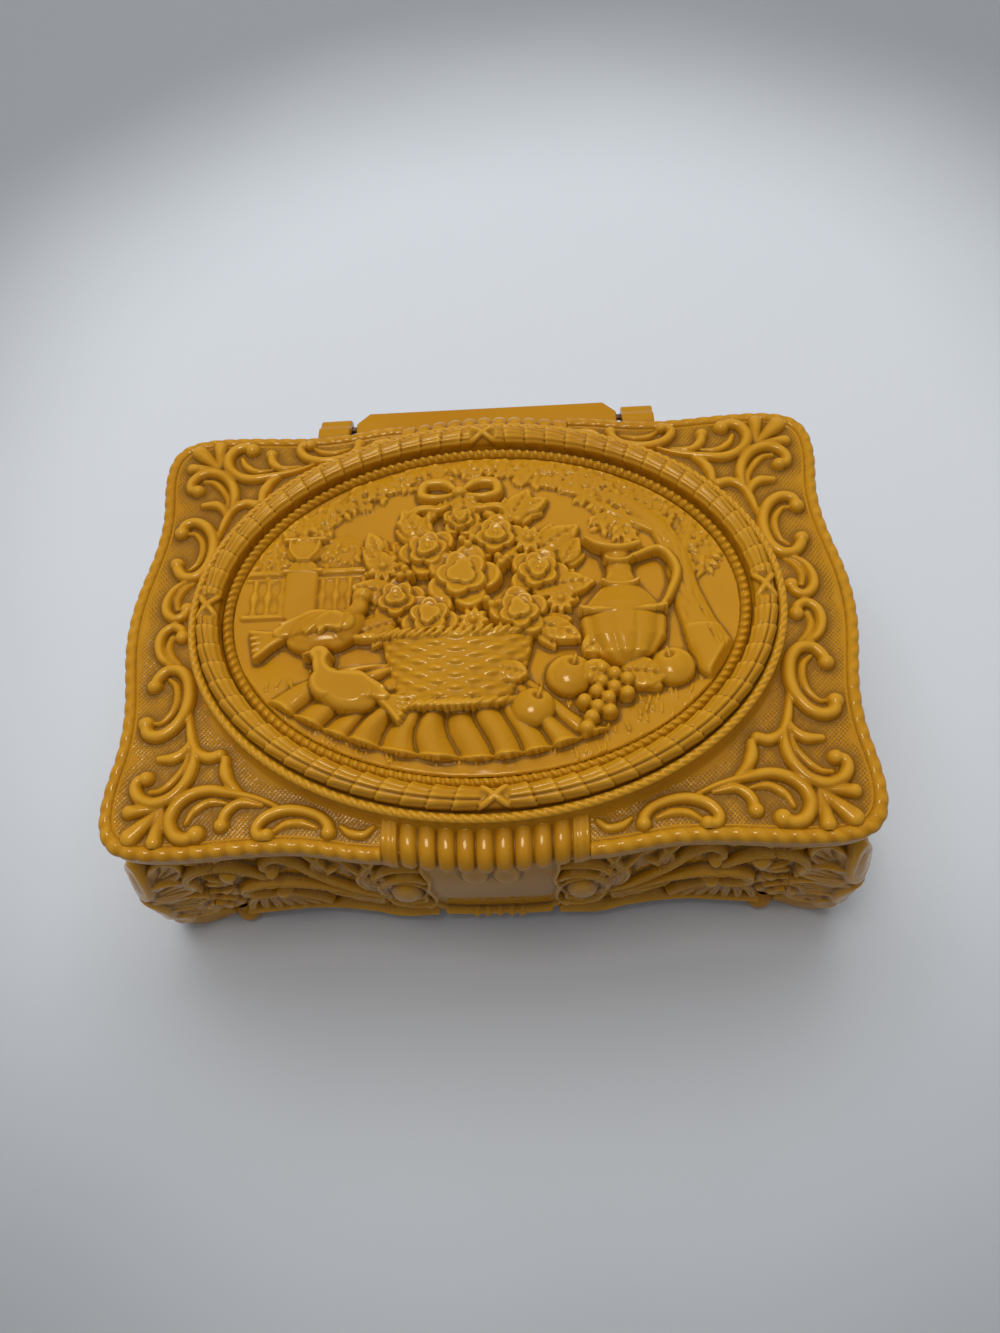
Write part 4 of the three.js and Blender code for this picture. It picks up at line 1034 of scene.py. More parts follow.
def field_carving():
    """The scrolls in one corner of the lid, from the lid's middle outwards, and how much darker
    the matted ground between them is painted: dirt and painted shade beside the scrolls and in
    the crossing cuts."""
    step = 0.25
    c = Carving(0, 83, 0, 58, step)
    x, y = np.meshgrid(c.x, c.y)
    outer, inner = 3.0, 1.9
    # The small scroll beside the end's middle
    scroll(c, [(67.5, 12), (70.3, 11), (72.8, 8.8), (73.9, 5.5), (73.4, 2.8), (71.4, 1.1),
               (69.4, 1.9), (68.8, 3.7)], outer * 0.86, 1.6, ends=(0.4, 0.8, 1, 1, 1), knob=1.8)
    c.ridge([(68, 11), (70.3, 9.3), (71.6, 6.5), (71.2, 3.8)], inner, 1.0,
            ends=(0.4, 1, 1, 0.8))
    # The large scroll of the end
    scroll(c, [(73.1, 16.2), (72.4, 14.2), (70.6, 12.4), (67.8, 12.6), (65.7, 15.2),
               (64.9, 19.4), (65.5, 23.6), (67.5, 26.8), (70.2, 28.3), (72.6, 27.6),
               (73.4, 25.4)], outer, 1.9, ends=(0.95, 1, 1, 1, 1.05), knob=1.9)
    c.dome(73.1, 16.2, 1.8, 1.8, 2.1)
    c.ridge([(70, 14.6), (68.2, 16.4), (67.5, 19.6), (68.1, 22.6), (70, 25), (71.6, 25.2)],
            inner, 1.1, ends=(0.6, 1, 1.1, 0.9, 0.6))
    # Stem, leaves and scroll that run on to the corner
    c.ridge([(64.5, 21.5), (63.9, 25.5), (63, 29), (61.8, 32)], 2.2, 1.4,
            ends=(0.4, 0.8, 1, 1))
    scroll(c, [(62.8, 29.5), (61.2, 32.4), (58.6, 33.6), (56.2, 33.1)], 2.5, 1.5,
           ends=(0.5, 1, 1.1, 1.1), knob=1.4)
    c.ridge([(62.8, 28.5), (63.6, 31.4), (65.8, 33.4), (69.2, 33.6)], 2.6, 1.5,
            ends=(0.5, 0.9, 1.1, 0.7))
    scroll(c, [(61.9, 31), (61.6, 35), (62.6, 39), (65, 42.2), (68.4, 43.6), (71.4, 42.8),
               (73.1, 40.6), (72.9, 38.6), (71.2, 38.0)], outer, 1.9,
           ends=(0.6, 0.9, 1, 1.05, 1, 0.9), knob=1.75)
    c.ridge([(62.9, 31.5), (63.6, 35.5), (65.6, 38.8), (67.8, 40.7), (70, 41)], inner, 1.1,
            ends=(0.5, 0.9, 1, 0.7))
    # Fan of drops in the corner
    for tip, broad in (((73.6, 45.2), 3.3), ((72.6, 50.6), 4.3), ((67.4, 51.8), 3.6)):
        c.ridge([(66.6, 44.6), ((66.6 + tip[0]) / 2, (44.6 + tip[1]) / 2), tip], broad, 1.9,
                ends=(0.3, 0.55, 0.85, 1))
    # Scroll and leaves along the front
    scroll(c, [(42.5, 45), (47, 43.1), (52, 41.9), (57, 41), (61, 41.8), (63.9, 44.3),
               (64.8, 47.6), (63.4, 50.4), (61.0, 51.3), (58.9, 50.4)], outer, 1.9,
           ends=(0.35, 0.55, 0.9, 1, 1.05, 1), knob=2.0)
    c.ridge([(53, 43.9), (57, 43.5), (60, 45.4), (61.4, 48)], inner, 1.1,
            ends=(0.4, 1, 1.1, 0.6))
    scroll(c, [(46, 44.6), (50.5, 43.9), (53.1, 45.8), (53.9, 48.6)], 2.6, 1.6,
           ends=(0.3, 0.8, 1, 1), knob=1.65)
    c.ridge([(50, 42.4), (53.1, 39.8), (54.6, 36.8), (54.9, 34.2)], 2.7, 1.6,
            ends=(0.4, 0.9, 1.1, 0.8))
    # Scroll at the middle of each side's edge, and its crescent
    scroll(c, [(31.6, 50.9), (31.9, 49.2), (33.8, 47.3), (37.4, 46), (41.2, 45.8),
               (44.6, 47), (46.4, 49.2), (46, 50.9), (44.2, 51)], outer * 0.9, 1.8,
           ends=(1, 0.8, 0.9, 1, 1, 1), knob=1.6)
    c.dome(31.6, 50.7, 1.6, 1.6, 1.9)
    c.ridge([(34.2, 49.6), (37.4, 48.5), (40.6, 48.7), (43, 50.2)], inner, 1.0,
            ends=(0.5, 1, 1, 0.6))
    c.ridge([(22.6, 50.0), (24.5, 51.4), (27.2, 51.0), (29.2, 49.6)], 1.9, 1.3,
            ends=(0.7, 1, 1, 0.5))
    # Matted ground: fine crossing cuts between the scrolls, plain towards the rim
    plain = c.height < 0.03
    cuts = np.maximum(np.sin(2 * np.pi * (x + y) / 0.85),
                      np.sin(2 * np.pi * (x - 0.8 * y) / 0.95))
    strength = 0.5 + 0.5 * soft_noise(x.shape, 14, 11)
    shade = blurred(c.height, 7 / step / 3)
    near = np.clip(shade * 9 - 0.15, 0, 1)
    c.height += plain * near * (cuts * 0.22 * strength + soft_noise(x.shape, 1.5, 12) * 0.06)
    # Dirt and painted shade on the ground near the scrolls, deepest in the cuts
    return c, near * plain * (0.12 + 0.2 * np.clip(0.5 - cuts, 0, 1))


class TRINKET_OT_lid(bpy.types.Operator):
    """Edge, underside, rope and corner fields of the lid"""
    bl_idname = "trinket.lid"
    bl_label = "Lid"

    def execute(self, context):
        rim = mm("rim_height")
        field = rim - mm("field_drop")
        bottom = rim - mm("lip_height")
        point, out, _ = lid_loop(0.7)
        wall = 2.4
        section = rounded([(2.4, field), (1.3, field - 1.2), (0.6, field - 2.2),
                           (0.35, bottom), (wall, bottom), (wall, field - wall),
                           (wall + 6, field - wall)], 0.5)
        edge = grid_piece("lid_edge", swept(point, out, section), "lid", "celluloid",
                          ring=True, caps=(-1,))
        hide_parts("lid_shell")
        self.build_rope(field)
        self.build_fields(field)
        self.build_knuckles()
        return {"FINISHED"}

    def build_rope(self, field):
        """The row of slanted beads that rounds the lid's edge, and the band inside it."""
        point, out, _ = lid_loop(ROPE_STEP)
        count = len(point)
        run = np.arange(count) * ROPE_STEP
        turns = round(count * ROPE_STEP / mm("rim_rope_pitch") / 4) * 4
        pitch = count * ROPE_STEP / turns
        across = np.linspace(-1, 1, 23)[:, None]
        rise = rope(across, run[None, :], pitch, 0.42, slant=0.3, low=0.55)
        row = GADROONS / 2 * mm("tongue_pitch") + GADROON_POST
        behind = (np.abs(point[:, 0]) < row - 0.3) & (np.abs(point[:, 1]) > 45)
        rise = np.where(behind, -0.6, rise)
        turn = np.radians(42.5 + 92.5 * across)
        flat = np.zeros((1, count))
        inset = np.vstack([ROPE_INSET - (ROPE_RADIUS + rise) * np.cos(turn), flat + 3.05,
                           flat + 3.5, flat + 3.75])
        z = np.vstack([field - ROPE_DROP + (ROPE_RADIUS + rise) * np.sin(turn),
                       flat + field + 0.12, flat + field + 0.16, flat + field - 0.3])
        grid = np.stack([point[:, 0] - inset * out[:, 0], point[:, 1] - inset * out[:, 1], z],
                        -1)
        # Bead tops are set low to take the painted highlight; the gaps, the band and the part
        # behind the gadroons are set high to take grime and painted shade
        hollow = np.clip(np.vstack([0.82 - rise * 1.4, flat + 0.6, flat + 0.55, flat + 0.7]),
                         0, 1)
        grid_piece("rim_rope", grid, "lid", "celluloid", hollow, ring=True)

    def build_fields(self, field):
        """The two sheets of corner fields, each mirrored from the front to the back."""
        carved, ground_dirt_and_shade = field_carving()
        hollow = np.clip(0.5 + 0.75 * (carved.hollows(1.0, 0.65) - 0.5) + ground_dirt_and_shade, 0, 1)
        height, deep = (np.vstack([a[:0:-1], a]) for a in (carved.height, hollow))
        y = np.concatenate([-carved.y[:0:-1], carved.y])
        rim = quarter_outline(2.1)
        angle = np.arctan2(rim[:, 1], rim[:, 0])
        radius = np.hypot(rim[:, 0], rim[:, 1])
        for name, side in (("lid_field_left", -1), ("lid_field_right", 1)):
            gx, gy = np.meshgrid(carved.x * side, y)
            here = np.arctan2(np.abs(gy), np.abs(gx))
            inside = np.hypot(gx, gy) < np.interp(here, angle, radius)
            boss = ((gx / (mm("boss_half_length") - 1)) ** 2
                    + (gy / (mm("boss_half_depth") - 1)) ** 2) > 1
            grid = np.stack([gx, gy, field + height], -1)
            grid_piece(name, grid, "lid", "celluloid", deep,
                       keep=inside & boss, flip=side < 0)

    def build_knuckles(self):
        """The lid's half of the hinge: a rolled knuckle on an arm at each side."""
        back, up, radius, hole = 61.5, 48.2, 2.6, 1.15
        start, run = 35.2, 8.0
        arm_top, arm_low, arm_y = 52.4, 50.0, 53.3
        turn = np.linspace(math.radians(90), math.radians(-180), 28)
        profile = [(arm_y, arm_top), (back - 3.4, arm_top), (back - 2.4, arm_top - 0.25),
                   (back - 1.2, up + radius + 0.25)]
        profile += [(back + radius * math.cos(t), up + radius * math.sin(t)) for t in turn]
        profile += [(back - radius, arm_low + 0.4), (back - radius - 0.4, arm_low),
                    (arm_y, arm_low)]
        profile = np.array(profile)
        away = profile - (back, up)
        angle = np.arctan2(away[:, 1], away[:, 0])
        bore = np.stack([back + hole * np.cos(angle), up + hole * np.sin(angle)], 1)
        inner = profile - 0.35 * away / np.linalg.norm(away, axis=1, keepdims=True)
        both = []
        for side in (-1, 1):
            near, far = side * start, side * (start + run)
            step = side * 0.3
            rings = [(near, bore), (near, inner), (near + step * 0.3, (inner + 2 * profile) / 3),
                     (near + step, profile), ((near + far) / 2, profile),
                     (far - step, profile), (far - step * 0.3, (inner + 2 * profile) / 3),
                     (far, inner), (far, bore), (near, bore)]
            grid = np.array([[(x, p[0], p[1]) for p in ring] for x, ring in rings])
            both.append(grid_piece("knuckle", grid, "lid", "celluloid",
                                   ring=True, flip=side > 0))
        joined("lid_knuckles", both)


class TRINKET_OT_boss(bpy.types.Operator):
    """The oval moulding round the plaque: rope, bundled reeds and ribbon crossings"""
    bl_idname = "trinket.boss"
    bl_label = "Oval moulding"

    def execute(self, context):
        point, out, run = boss_loop(ROPE_STEP)
        length = len(point) * ROPE_STEP
        crest = mm("rim_height") + mm("boss_rise")
        inset, z, kind, part = self.section(crest)
        count = len(point)
        lift = np.zeros((len(inset), count))
        turns = round(length / mm("boss_rope_pitch"))
        is_rope = kind == 1
        lift[is_rope] = rope(part[is_rope][:, None], run[None, :], length / turns, 0.95,
                             slant=0.45, low=0.45)
        is_reed = kind == 2
        lift[is_reed] = self.reeds(part[is_reed][:, None], run[None, :], length)
        slope = np.gradient(z), np.gradient(inset)
        norm = np.hypot(*slope)
        tilt_out, tilt_up = slope[0] / norm, slope[1] / norm
        tilt_up = np.where(is_rope, 1.0, tilt_up)[:, None]
        tilt_out = np.where(is_rope, 0.0, tilt_out)[:, None]
        place = inset[:, None] - lift * tilt_out
        grid = np.stack([point[:, 0] - place * out[:, 0], point[:, 1] - place * out[:, 1],
                         z[:, None] + lift * tilt_up], -1)
        # Painted shade and grime: darkest in the groove between rope and reeds and in the recess
        # down to the plaque; the outer wall is set light to take the painted highlight; deep adds
        # the hollows between beads and reeds
        groove = np.interp(inset, [0, 1.85, 2.2, 2.9, 6.9, 7.3, 7.4],
                           [0.15, 0.55, 0.85, 0.45, 0.45, 0.62, 0.7])[:, None]
        deep = blurred(lift, 3) - lift
        hollow = np.clip(groove + deep, 0, 1)
        grid_piece("boss_moulding", grid, "lid", "celluloid", hollow, ring=True)
        return {"FINISHED"}

    def section(self, crest):
        """Insets and heights up the wall, over the rope and the reeds, into the recess.
        Kind tells a rope (1) or reeds (2), and part where a point lies across it."""
        rows = [(-0.9, crest - 6.2, 0, 0), (-0.55, crest - 5.6, 0, 0),
                (-0.2, crest - 4.6, 0, 0), (0, crest - 3.2, 0, 0), (0, crest - 2.2, 0, 0),
                (0, crest - 1.5, 0, 0)]
        rope_base = crest - 1.1
        for k in range(11):
            across = math.sin(math.pi * (k / 10 - 0.5))
            rows.append((0.95 + 0.95 * across, rope_base, 1, across))
        rows += [(2.05, crest - 1.9, 0, 0), (2.25, crest - 2.0, 0, 0)]
        for k in range(34):
            share = k / 33
            turn = math.pi * share
            rows.append((2.35 + 2.4 * (1 - math.cos(turn)),
                         crest - 1.1 + 2.55 * math.sin(turn) ** 0.85, 2, share))
        rows += [(7.22, crest - 1.6, 0, 0), (7.3, crest - 2.6, 0, 0), (7.3, crest - 5.0, 0, 0),
                 (8.8, crest - 5.1, 0, 0)]
        table = np.array(rows)
        return table[:, 0], table[:, 1], table[:, 2], table[:, 3]

    def reeds(self, share, run, length):
        """Bundles of reeds that overlap like shingles from the front round to the back,
        bound by crossed ribbons at the four middles."""
        quarter = length / 4
        from_front = np.abs((run - 3 * quarter + length / 2) % length - length / 2)
        bundles = round(quarter / mm("reed_pitch"))
        pitch = quarter / bundles
        phase = (from_front / pitch + 0.32 * (share - 0.5)) % 1.0
        edge = np.clip(np.sin(math.pi * share) * 1.6, 0, 1)
        shingle = 0.52 * phase ** 1.3
        shingle = shingle - 0.3 * np.exp(-(np.minimum(phase, 1 - phase) / 0.04) ** 2)
        outer = share < 0.4
        along = (share - 0.4) / 0.52
        ribs = 0.3 * np.abs(np.cos(math.pi * (along * 3 - 0.5))) ** 0.6 - 0.14
        split = -0.45 * np.exp(-((share - 0.4) / 0.022) ** 2)
        plain = 0.2 * np.abs(np.cos(math.pi * (share / 0.4 * 2 - 0.5))) ** 0.6 - 0.08
        body = np.where(outer, plain, np.where(along < 1, ribs, 0.0)) + split
        reed = (shingle + body) * edge
        front = np.abs(run - 3 * quarter) < quarter / 2
        tie = (run + quarter / 2) % quarter - quarter / 2 - np.where(front, FRONT_TIE, 0)
        reach = 3.4
        band = np.zeros_like(reed)
        for way in (-1, 1):
            off = (share - 0.5 - way * tie / reach * 0.36) / 0.13
            band = np.maximum(band, 0.75 * np.sqrt(np.clip(1 - off ** 2, 0, 1)))
        bound = np.clip((reach - np.abs(tie)) / 0.6, 0, 1)
        return reed * (1 - bound) + bound * (band * edge - 0.15)


class TRINKET_OT_gadroons(bpy.types.Operator):
    """The rows of gadroons on the front and back of the lid"""
    bl_idname = "trinket.gadroons"
    bl_label = "Gadroons"

    def execute(self, context):
        rim = mm("rim_height")
        pitch = mm("tongue_pitch")
        radius = pitch * 0.49
        half_row = GADROONS / 2 * pitch
        post = GADROON_POST
        half = half_row + post
        x = np.concatenate([[-half - 0.03], np.arange(-half, half + 0.01, 0.22),
                            [half + 0.03]])
        root_z = rim + 1.1 - radius
        low = rim - 4.75
        spine = smooth_line([(47.3, root_z), (51, root_z), (54, root_z - 0.05),
                             (56.0, root_z - 0.55), (57.1, root_z - 1.7),
                             (GADROON_FRONT, root_z - 3),
                             (57.4, low + 0.3), (56.9, low - 0.15), (55.6, low - 0.2)], 0.2)
        spine = spine[np.concatenate([[True], np.linalg.norm(np.diff(spine, axis=0), axis=1)
                                      > 0.05])]
        run = arc_length(spine)
        tangent = np.gradient(spine, axis=0)
        tangent /= np.linalg.norm(tangent, axis=1, keepdims=True)
        away = np.stack([-tangent[:, 1], tangent[:, 0]], 1)
        tip = run[int(np.argmin(np.abs(spine[:, 1] - (low + 1.75)) + (spine[:, 0] < 56) * 9))]
        number = np.clip(np.round(x / pitch), -4, 4)
        off = x - number * pitch
        past = np.clip(run - tip, 0, None)[:, None]
        body = np.clip(1 - np.abs(off / radius) ** 2.5 - (past / radius) ** 2, 0, 1)
        tongue = (radius - 0.1) * body ** 0.42
        from_post = np.abs(np.abs(x) - half_row - post / 2)
        flat = np.clip((post / 2 - from_post) / 0.35, 0, 1) ** 0.5
        ridge = 0.07 * np.cos(2 * math.pi * from_post / 1.85)
        end = np.clip((tip + radius * 0.9 - run) / 0.5, 0, 1)[:, None] ** 0.5
        bar = (radius * 0.93 * flat + ridge * flat) * end
        rise = np.where(np.abs(x) > half_row, bar, tongue)
        outside = np.abs(x) > half + 0.01
        rise = np.where(outside, -2.2, rise)
        shift = -1.7 * (x / 17) ** 2  # the row bows back towards its ends
        sway = np.clip((run - 3) / 6, 0, 1)[:, None]
        # Painted shade and grime in the gaps where the tongues fall away; the crowns take the
        # painted highlight
        hollow = np.clip(1.0 - rise * 0.38, 0, 1)
        for side, name in ((-1, "gadroons_front"), (1, "gadroons_back")):
            y = spine[:, :1] + rise * away[:, :1] + shift * sway
            z = spine[:, 1:] + rise * away[:, 1:]
            grid = np.stack([np.broadcast_to(x * -side, y.shape), y * side, z], -1)
            grid_piece(name, grid, "lid", "celluloid", hollow)
        return {"FINISHED"}


# Plaque: a still life in relief, with a basket of roses, a ewer, fruit and doves

PLAQUE_STEP = 0.29
PLAQUE_OVAL = (56.4, 41.5)  # half length and half depth of the picture
PLAQUE_DEEP = 4.8  # the picture's highest point above its ground
BEAD_STEP = 0.28


def foliage(c, x, y, long, broad, turn, count, seed, base=0.25, leaf=2.8, rise=0.7):
    """A clump of small leaves over a low mound."""
    c.dome(x, y, long, broad, rise, turn, base=base * 0.5, power=0.8)
    random = np.random.default_rng(seed)
    ct, st = math.cos(math.radians(turn)), math.sin(math.radians(turn))
    for _ in range(count):
        radius, angle = math.sqrt(random.uniform()), random.uniform(0, 2 * math.pi)
        u, v = radius * long * math.cos(angle), radius * broad * math.sin(angle)
        c.leaf(x + u * ct - v * st, y + u * st + v * ct, random.uniform(200, 340),
               leaf * random.uniform(0.7, 1.2), leaf * 0.24, rise * 0.75,
               base=base + rise * (1 - radius) + random.uniform(0, 0.35), veins=0)


def daisy(c, x, y, radius, rise, base, turn=0):
    for k in range(9):
        angle = turn + 40 * k
        a = math.radians(angle)
        c.leaf(x + radius * 0.12 * math.cos(a), y + radius * 0.12 * math.sin(a), angle,
               radius * 0.9, radius * 0.22, rise * 0.6, base=base, veins=1)
    c.dome(x, y, radius * 0.3, radius * 0.3, rise, base=base)


def wicker_basket(c, x, top_y, low_y, top_half, low_half, rise, base):
    """A round basket seen from the side: woven rows over upright stakes."""
    part, gx, gy = c.window(x - top_half - 1, x + top_half + 1, low_y - 2, top_y + 2)
    sag = 1.8 * np.clip(1 - ((gx - x) / top_half) ** 2, 0, 1)
    up = (gy + sag - low_y) / (top_y - low_y)
    half = low_half + (top_half - low_half) * np.clip(up, 0, 1) ** 0.75
    share = (gx - x) / half
    turn = np.arcsin(np.clip(share, -1, 1))
    row = up * (top_y - low_y) / 1.55
    over = np.cos(11 * turn + math.pi * (np.floor(row) % 2))
    weave = 0.42 * (0.45 + 0.55 * over) * np.sqrt(np.abs(np.sin(math.pi * row)))
    shape = rise * np.sqrt(np.clip(1 - share ** 2, 0, 1)) + weave
    shape = np.where((np.abs(share) < 1) & (up > 0) & (up < 1), shape, 0)
    c.lay(part, shape, base, "over")
    for level, half_x, width in ((top_y, top_half, 3.0), (low_y, low_half, 2.4)):
        line = [(x + half_x * math.sin(t), level - 1.8 * math.cos(t) + 0.2)
                for t in np.linspace(-1.5, 1.5, 13)]
        for (ax, ay), (bx, by) in zip(line, line[1:]):
            share_x = ((ax + bx) / 2 - x) / half_x
            lift = base + rise * math.sqrt(max(0.05, 1 - share_x ** 2)) - 0.2
            for part_k in (0.0, 0.5):
                px, py = ax + (bx - ax) * part_k, ay + (by - ay) * part_k
                c.ridge([(px - 0.9, py - width * 0.33), (px + 0.5, py),
                         (px + 1.5, py + width * 0.33)], 1.5, 0.95, ends=(0.5, 1, 0.5),
                        base=lift)


def ewer(c, x, y, base):
    """A jug with a fluted belly, a slender neck, a lip and a curled handle."""
    c.ridge([(x + 3.2, y + 17), (x + 9.5, y + 18.5), (x + 12.6, y + 13), (x + 10.5, y + 6.5),
             (x + 7.5, y + 2.5)], 2.2, 1.7, ends=(0.9, 1, 1.1, 1, 0.6), base=base + 0.2)
    c.dome(x + 7.2, y + 2.2, 1.7, 1.7, 2.0, base=base + 0.6)
    c.ridge([(x - 5.8, y - 15.4), (x + 5.8, y - 15.4)], 2.8, 1.7, base=base)
    c.ridge([(x - 3, y - 13), (x + 3, y - 13)], 3.4, 1.5, base=base)
    c.ridge([(x, y - 13), (x, y - 8)], 5.2, 2.1, ends=(0.8, 0.6, 1.2), base=base)
    profile = [(-10.5, 2.5), (-8, 6.4), (-4, 8.8), (0.5, 9.4), (4, 8.4), (7, 6.2), (9.5, 4.0),
               (13, 2.8), (16, 2.9), (18, 3.7), (19.2, 4.9)]
    part, gx, gy = c.window(x - 11, x + 11, y - 11, y + 21)
    half = np.interp(gy - y, [p[0] for p in profile], [p[1] for p in profile])
    share = (gx - x) / half
    body = 4.0 * (half / 9.4) ** 0.65 * np.sqrt(np.clip(1 - share ** 2, 0, 1))
    turn = np.arcsin(np.clip(share, -1, 1))
    low = np.clip((1.5 - (gy - y)) / 1.2, 0, 1) * np.clip((gy - y + 10.5) / 2, 0, 1)
    body = body + 0.32 * low * np.abs(np.cos(turn * 5.5)) * (np.abs(share) < 0.97)
    inside = (np.abs(share) < 1) & (gy > y - 10.5) & (gy < y + 19.2)
    c.lay(part, np.where(inside, body, 0), base, "over")
    for level, half_x, top in ((2.6, 9.2, 4.0), (9.8, 3.9, 2.5), (16.2, 2.9, 2.2)):
        line = [(x + half_x * math.sin(t), y + level - 0.9 * math.cos(t))
                for t in np.linspace(-1.4, 1.4, 9)]
        c.ridge(line, 1.1, 0.5, base=base + top * 0.93)
    c.ridge([(x + 4.6, y + 19.4), (x, y + 18.6), (x - 4.4, y + 19.6), (x - 7.2, y + 21.5)],
            2.0, 1.6, ends=(1, 1, 1, 0.6), base=base + 1.2)


def dove(c, x, y, way, base, lean=0.0, big=1.0):
    """A dove seen from the side, facing left (way -1) or right (1)."""
    def at(px, py):
        a = math.radians(lean) * way
        px, py = px * way * big, py * big
        return (x + px * math.cos(a) - py * math.sin(a), y + px * math.sin(a) + py * math.cos(a))

    def spot(px, py, long, broad, rise, turn, level):
        sx, sy = at(px, py)
        c.dome(sx, sy, long * big, broad * big, rise, (turn + lean) * way, base=base + level)

    for k in range(5):
        c.ridge([at(-5, 0.5), at(-10, -0.8 - 0.5 * k), at(-15.5 + 0.5 * k, -0.6 - 1.5 * k)],
                1.9 * big, 1.0, ends=(0.9, 1, 0.75), base=base + 0.25 + 0.1 * k)
    spot(0, 0, 8.4, 4.9, 3.0, 14, 0)
    spot(4.2, 1.4, 5.0, 4.2, 3.1, 40, 0.15)
    c.ridge([at(4.5, 2.5), at(6.6, 5.6), at(7.0, 8.0)], 4.8 * big, 2.7, ends=(1.1, 0.85, 0.8),
            base=base + 0.3)
    spot(7.3, 8.7, 2.5, 2.2, 2.6, 10, 0.5)
    c.ridge([at(9.2, 8.9), at(11.4, 8.0)], 1.3 * big, 1.1, ends=(1, 0.3), base=base + 0.9)
    ex, ey = at(8.0, 9.2)
    c.dome(ex, ey, 0.5, 0.5, 0.35, way="on")
    wing = c.blank()
    wing.ridge([at(4.6, 1.6), at(-1.5, 1.9), at(-9.5, -0.9)], 6.4 * big, 1.0,
               ends=(0.7, 1, 0.35), power=0.35)
    for reach, level, count in ((13.0, 0.0, 5), (9.0, 0.45, 5), (5.2, 0.85, 4)):
        for k in range(count):
            drop = k / count
            wing.ridge([at(3.8, 2.6 - 3.4 * drop), at(3.8 - reach * 0.5, 3.4 - 3.6 * drop),
                        at(3.8 - reach * (1 - 0.3 * drop), 1.0 - 3.2 * drop)], 1.7 * big, 0.85,
                       ends=(0.8, 1.1, 0.9, 0.45), base=level)
    c.height = np.where(wing.height > 0, np.maximum(c.height, base + 1.6) + wing.height * 0.8,
                        c.height)


def apple(c, x, y, radius, rise, base, turn=80):
    c.dome(x, y, radius, radius * 0.95, rise, base=base)
    a = math.radians(turn)
    tx, ty = x + radius * 0.45 * math.cos(a), y + radius * 0.45 * math.sin(a)
    c.dome(tx, ty, radius * 0.3, radius * 0.22, 0.8, turn - 90, way="cut", power=1)
    c.ridge([(tx, ty), (tx + 1.3 * math.cos(a), ty + 1.5)], 0.8, 0.6, base=base + rise * 0.7)


def grapes(c, x, y, angle, length, broad, base, seed, radius=1.65):
    """A bunch of grapes that narrows along its length, the lower ones behind."""
    random = np.random.default_rng(seed)
    a = math.radians(angle)
    rows = int(length / (radius * 1.45))
    for row in range(rows, -1, -1):
        share = row / rows
        half = broad * math.sqrt(max(0.05, 1 - share ** 1.6))
        count = max(1, int(half / radius) + (row % 2))
        for k in range(count):
            across = (k - (count - 1) / 2) * radius * 1.75 + random.uniform(-0.2, 0.2)
            along = share * length + random.uniform(-0.2, 0.2)
            lift = 1.1 * math.sqrt(max(0, 1 - (across / (half + 1)) ** 2)) * (1 - 0.5 * share)
            c.dome(x + along * math.cos(a) - across * math.sin(a),
                   y + along * math.sin(a) + across * math.cos(a), radius, radius, 1.75,
                   base=base + lift)


def balustrade(c, left, right, y, base):
    """A low parapet with turned balusters, and its posts."""
    for level, width, rise in ((y + 6.6, 2.0, 0.9), (y + 4.9, 0.9, 0.55), (y - 5.0, 1.6, 0.8)):
        c.ridge([(left, level), (right, level)], width, rise, base=base)
    x = left + 2.0
    while x < right - 1:
        c.ridge([(x, y + 4.3), (x, y + 2.6), (x, y - 0.6), (x, y - 2.6), (x, y - 4.4)], 2.4,
                0.95, ends=(0.55, 0.4, 1.0, 0.5, 0.6), base=base)
        x += 3.1


def urn(c, x, y, base):
    """A garden urn on its post, with leaves spilling over."""
    c.ridge([(x, y - 11.5), (x, y - 1.5)], 7.4, 1.1, power=0.2, base=base)
    c.ridge([(x - 4.2, y - 1.2), (x + 4.2, y - 1.2)], 1.6, 1.3, base=base)
    c.ridge([(x, y - 0.5), (x, y + 1.6)], 2.4, 1.2, ends=(1.3, 0.7), base=base)
    c.dome(x, y + 4.6, 4.4, 3.6, 1.8, base=base)
    for k in range(5):
        c.ridge([(x + (k - 2) * 0.6, y + 1.8), (x + (k - 2) * 1.5, y + 4.2),
                 (x + (k - 2) * 1.7, y + 6.4)], 0.8, 0.35, base=base + 1.4)
    c.ridge([(x - 4.6, y + 7.4), (x + 4.6, y + 7.4)], 1.7, 1.7, base=base)
    foliage(c, x, y + 10.5, 6.2, 4.4, 0, 34, 21, base=base * 0.7, leaf=3.0, rise=0.9)


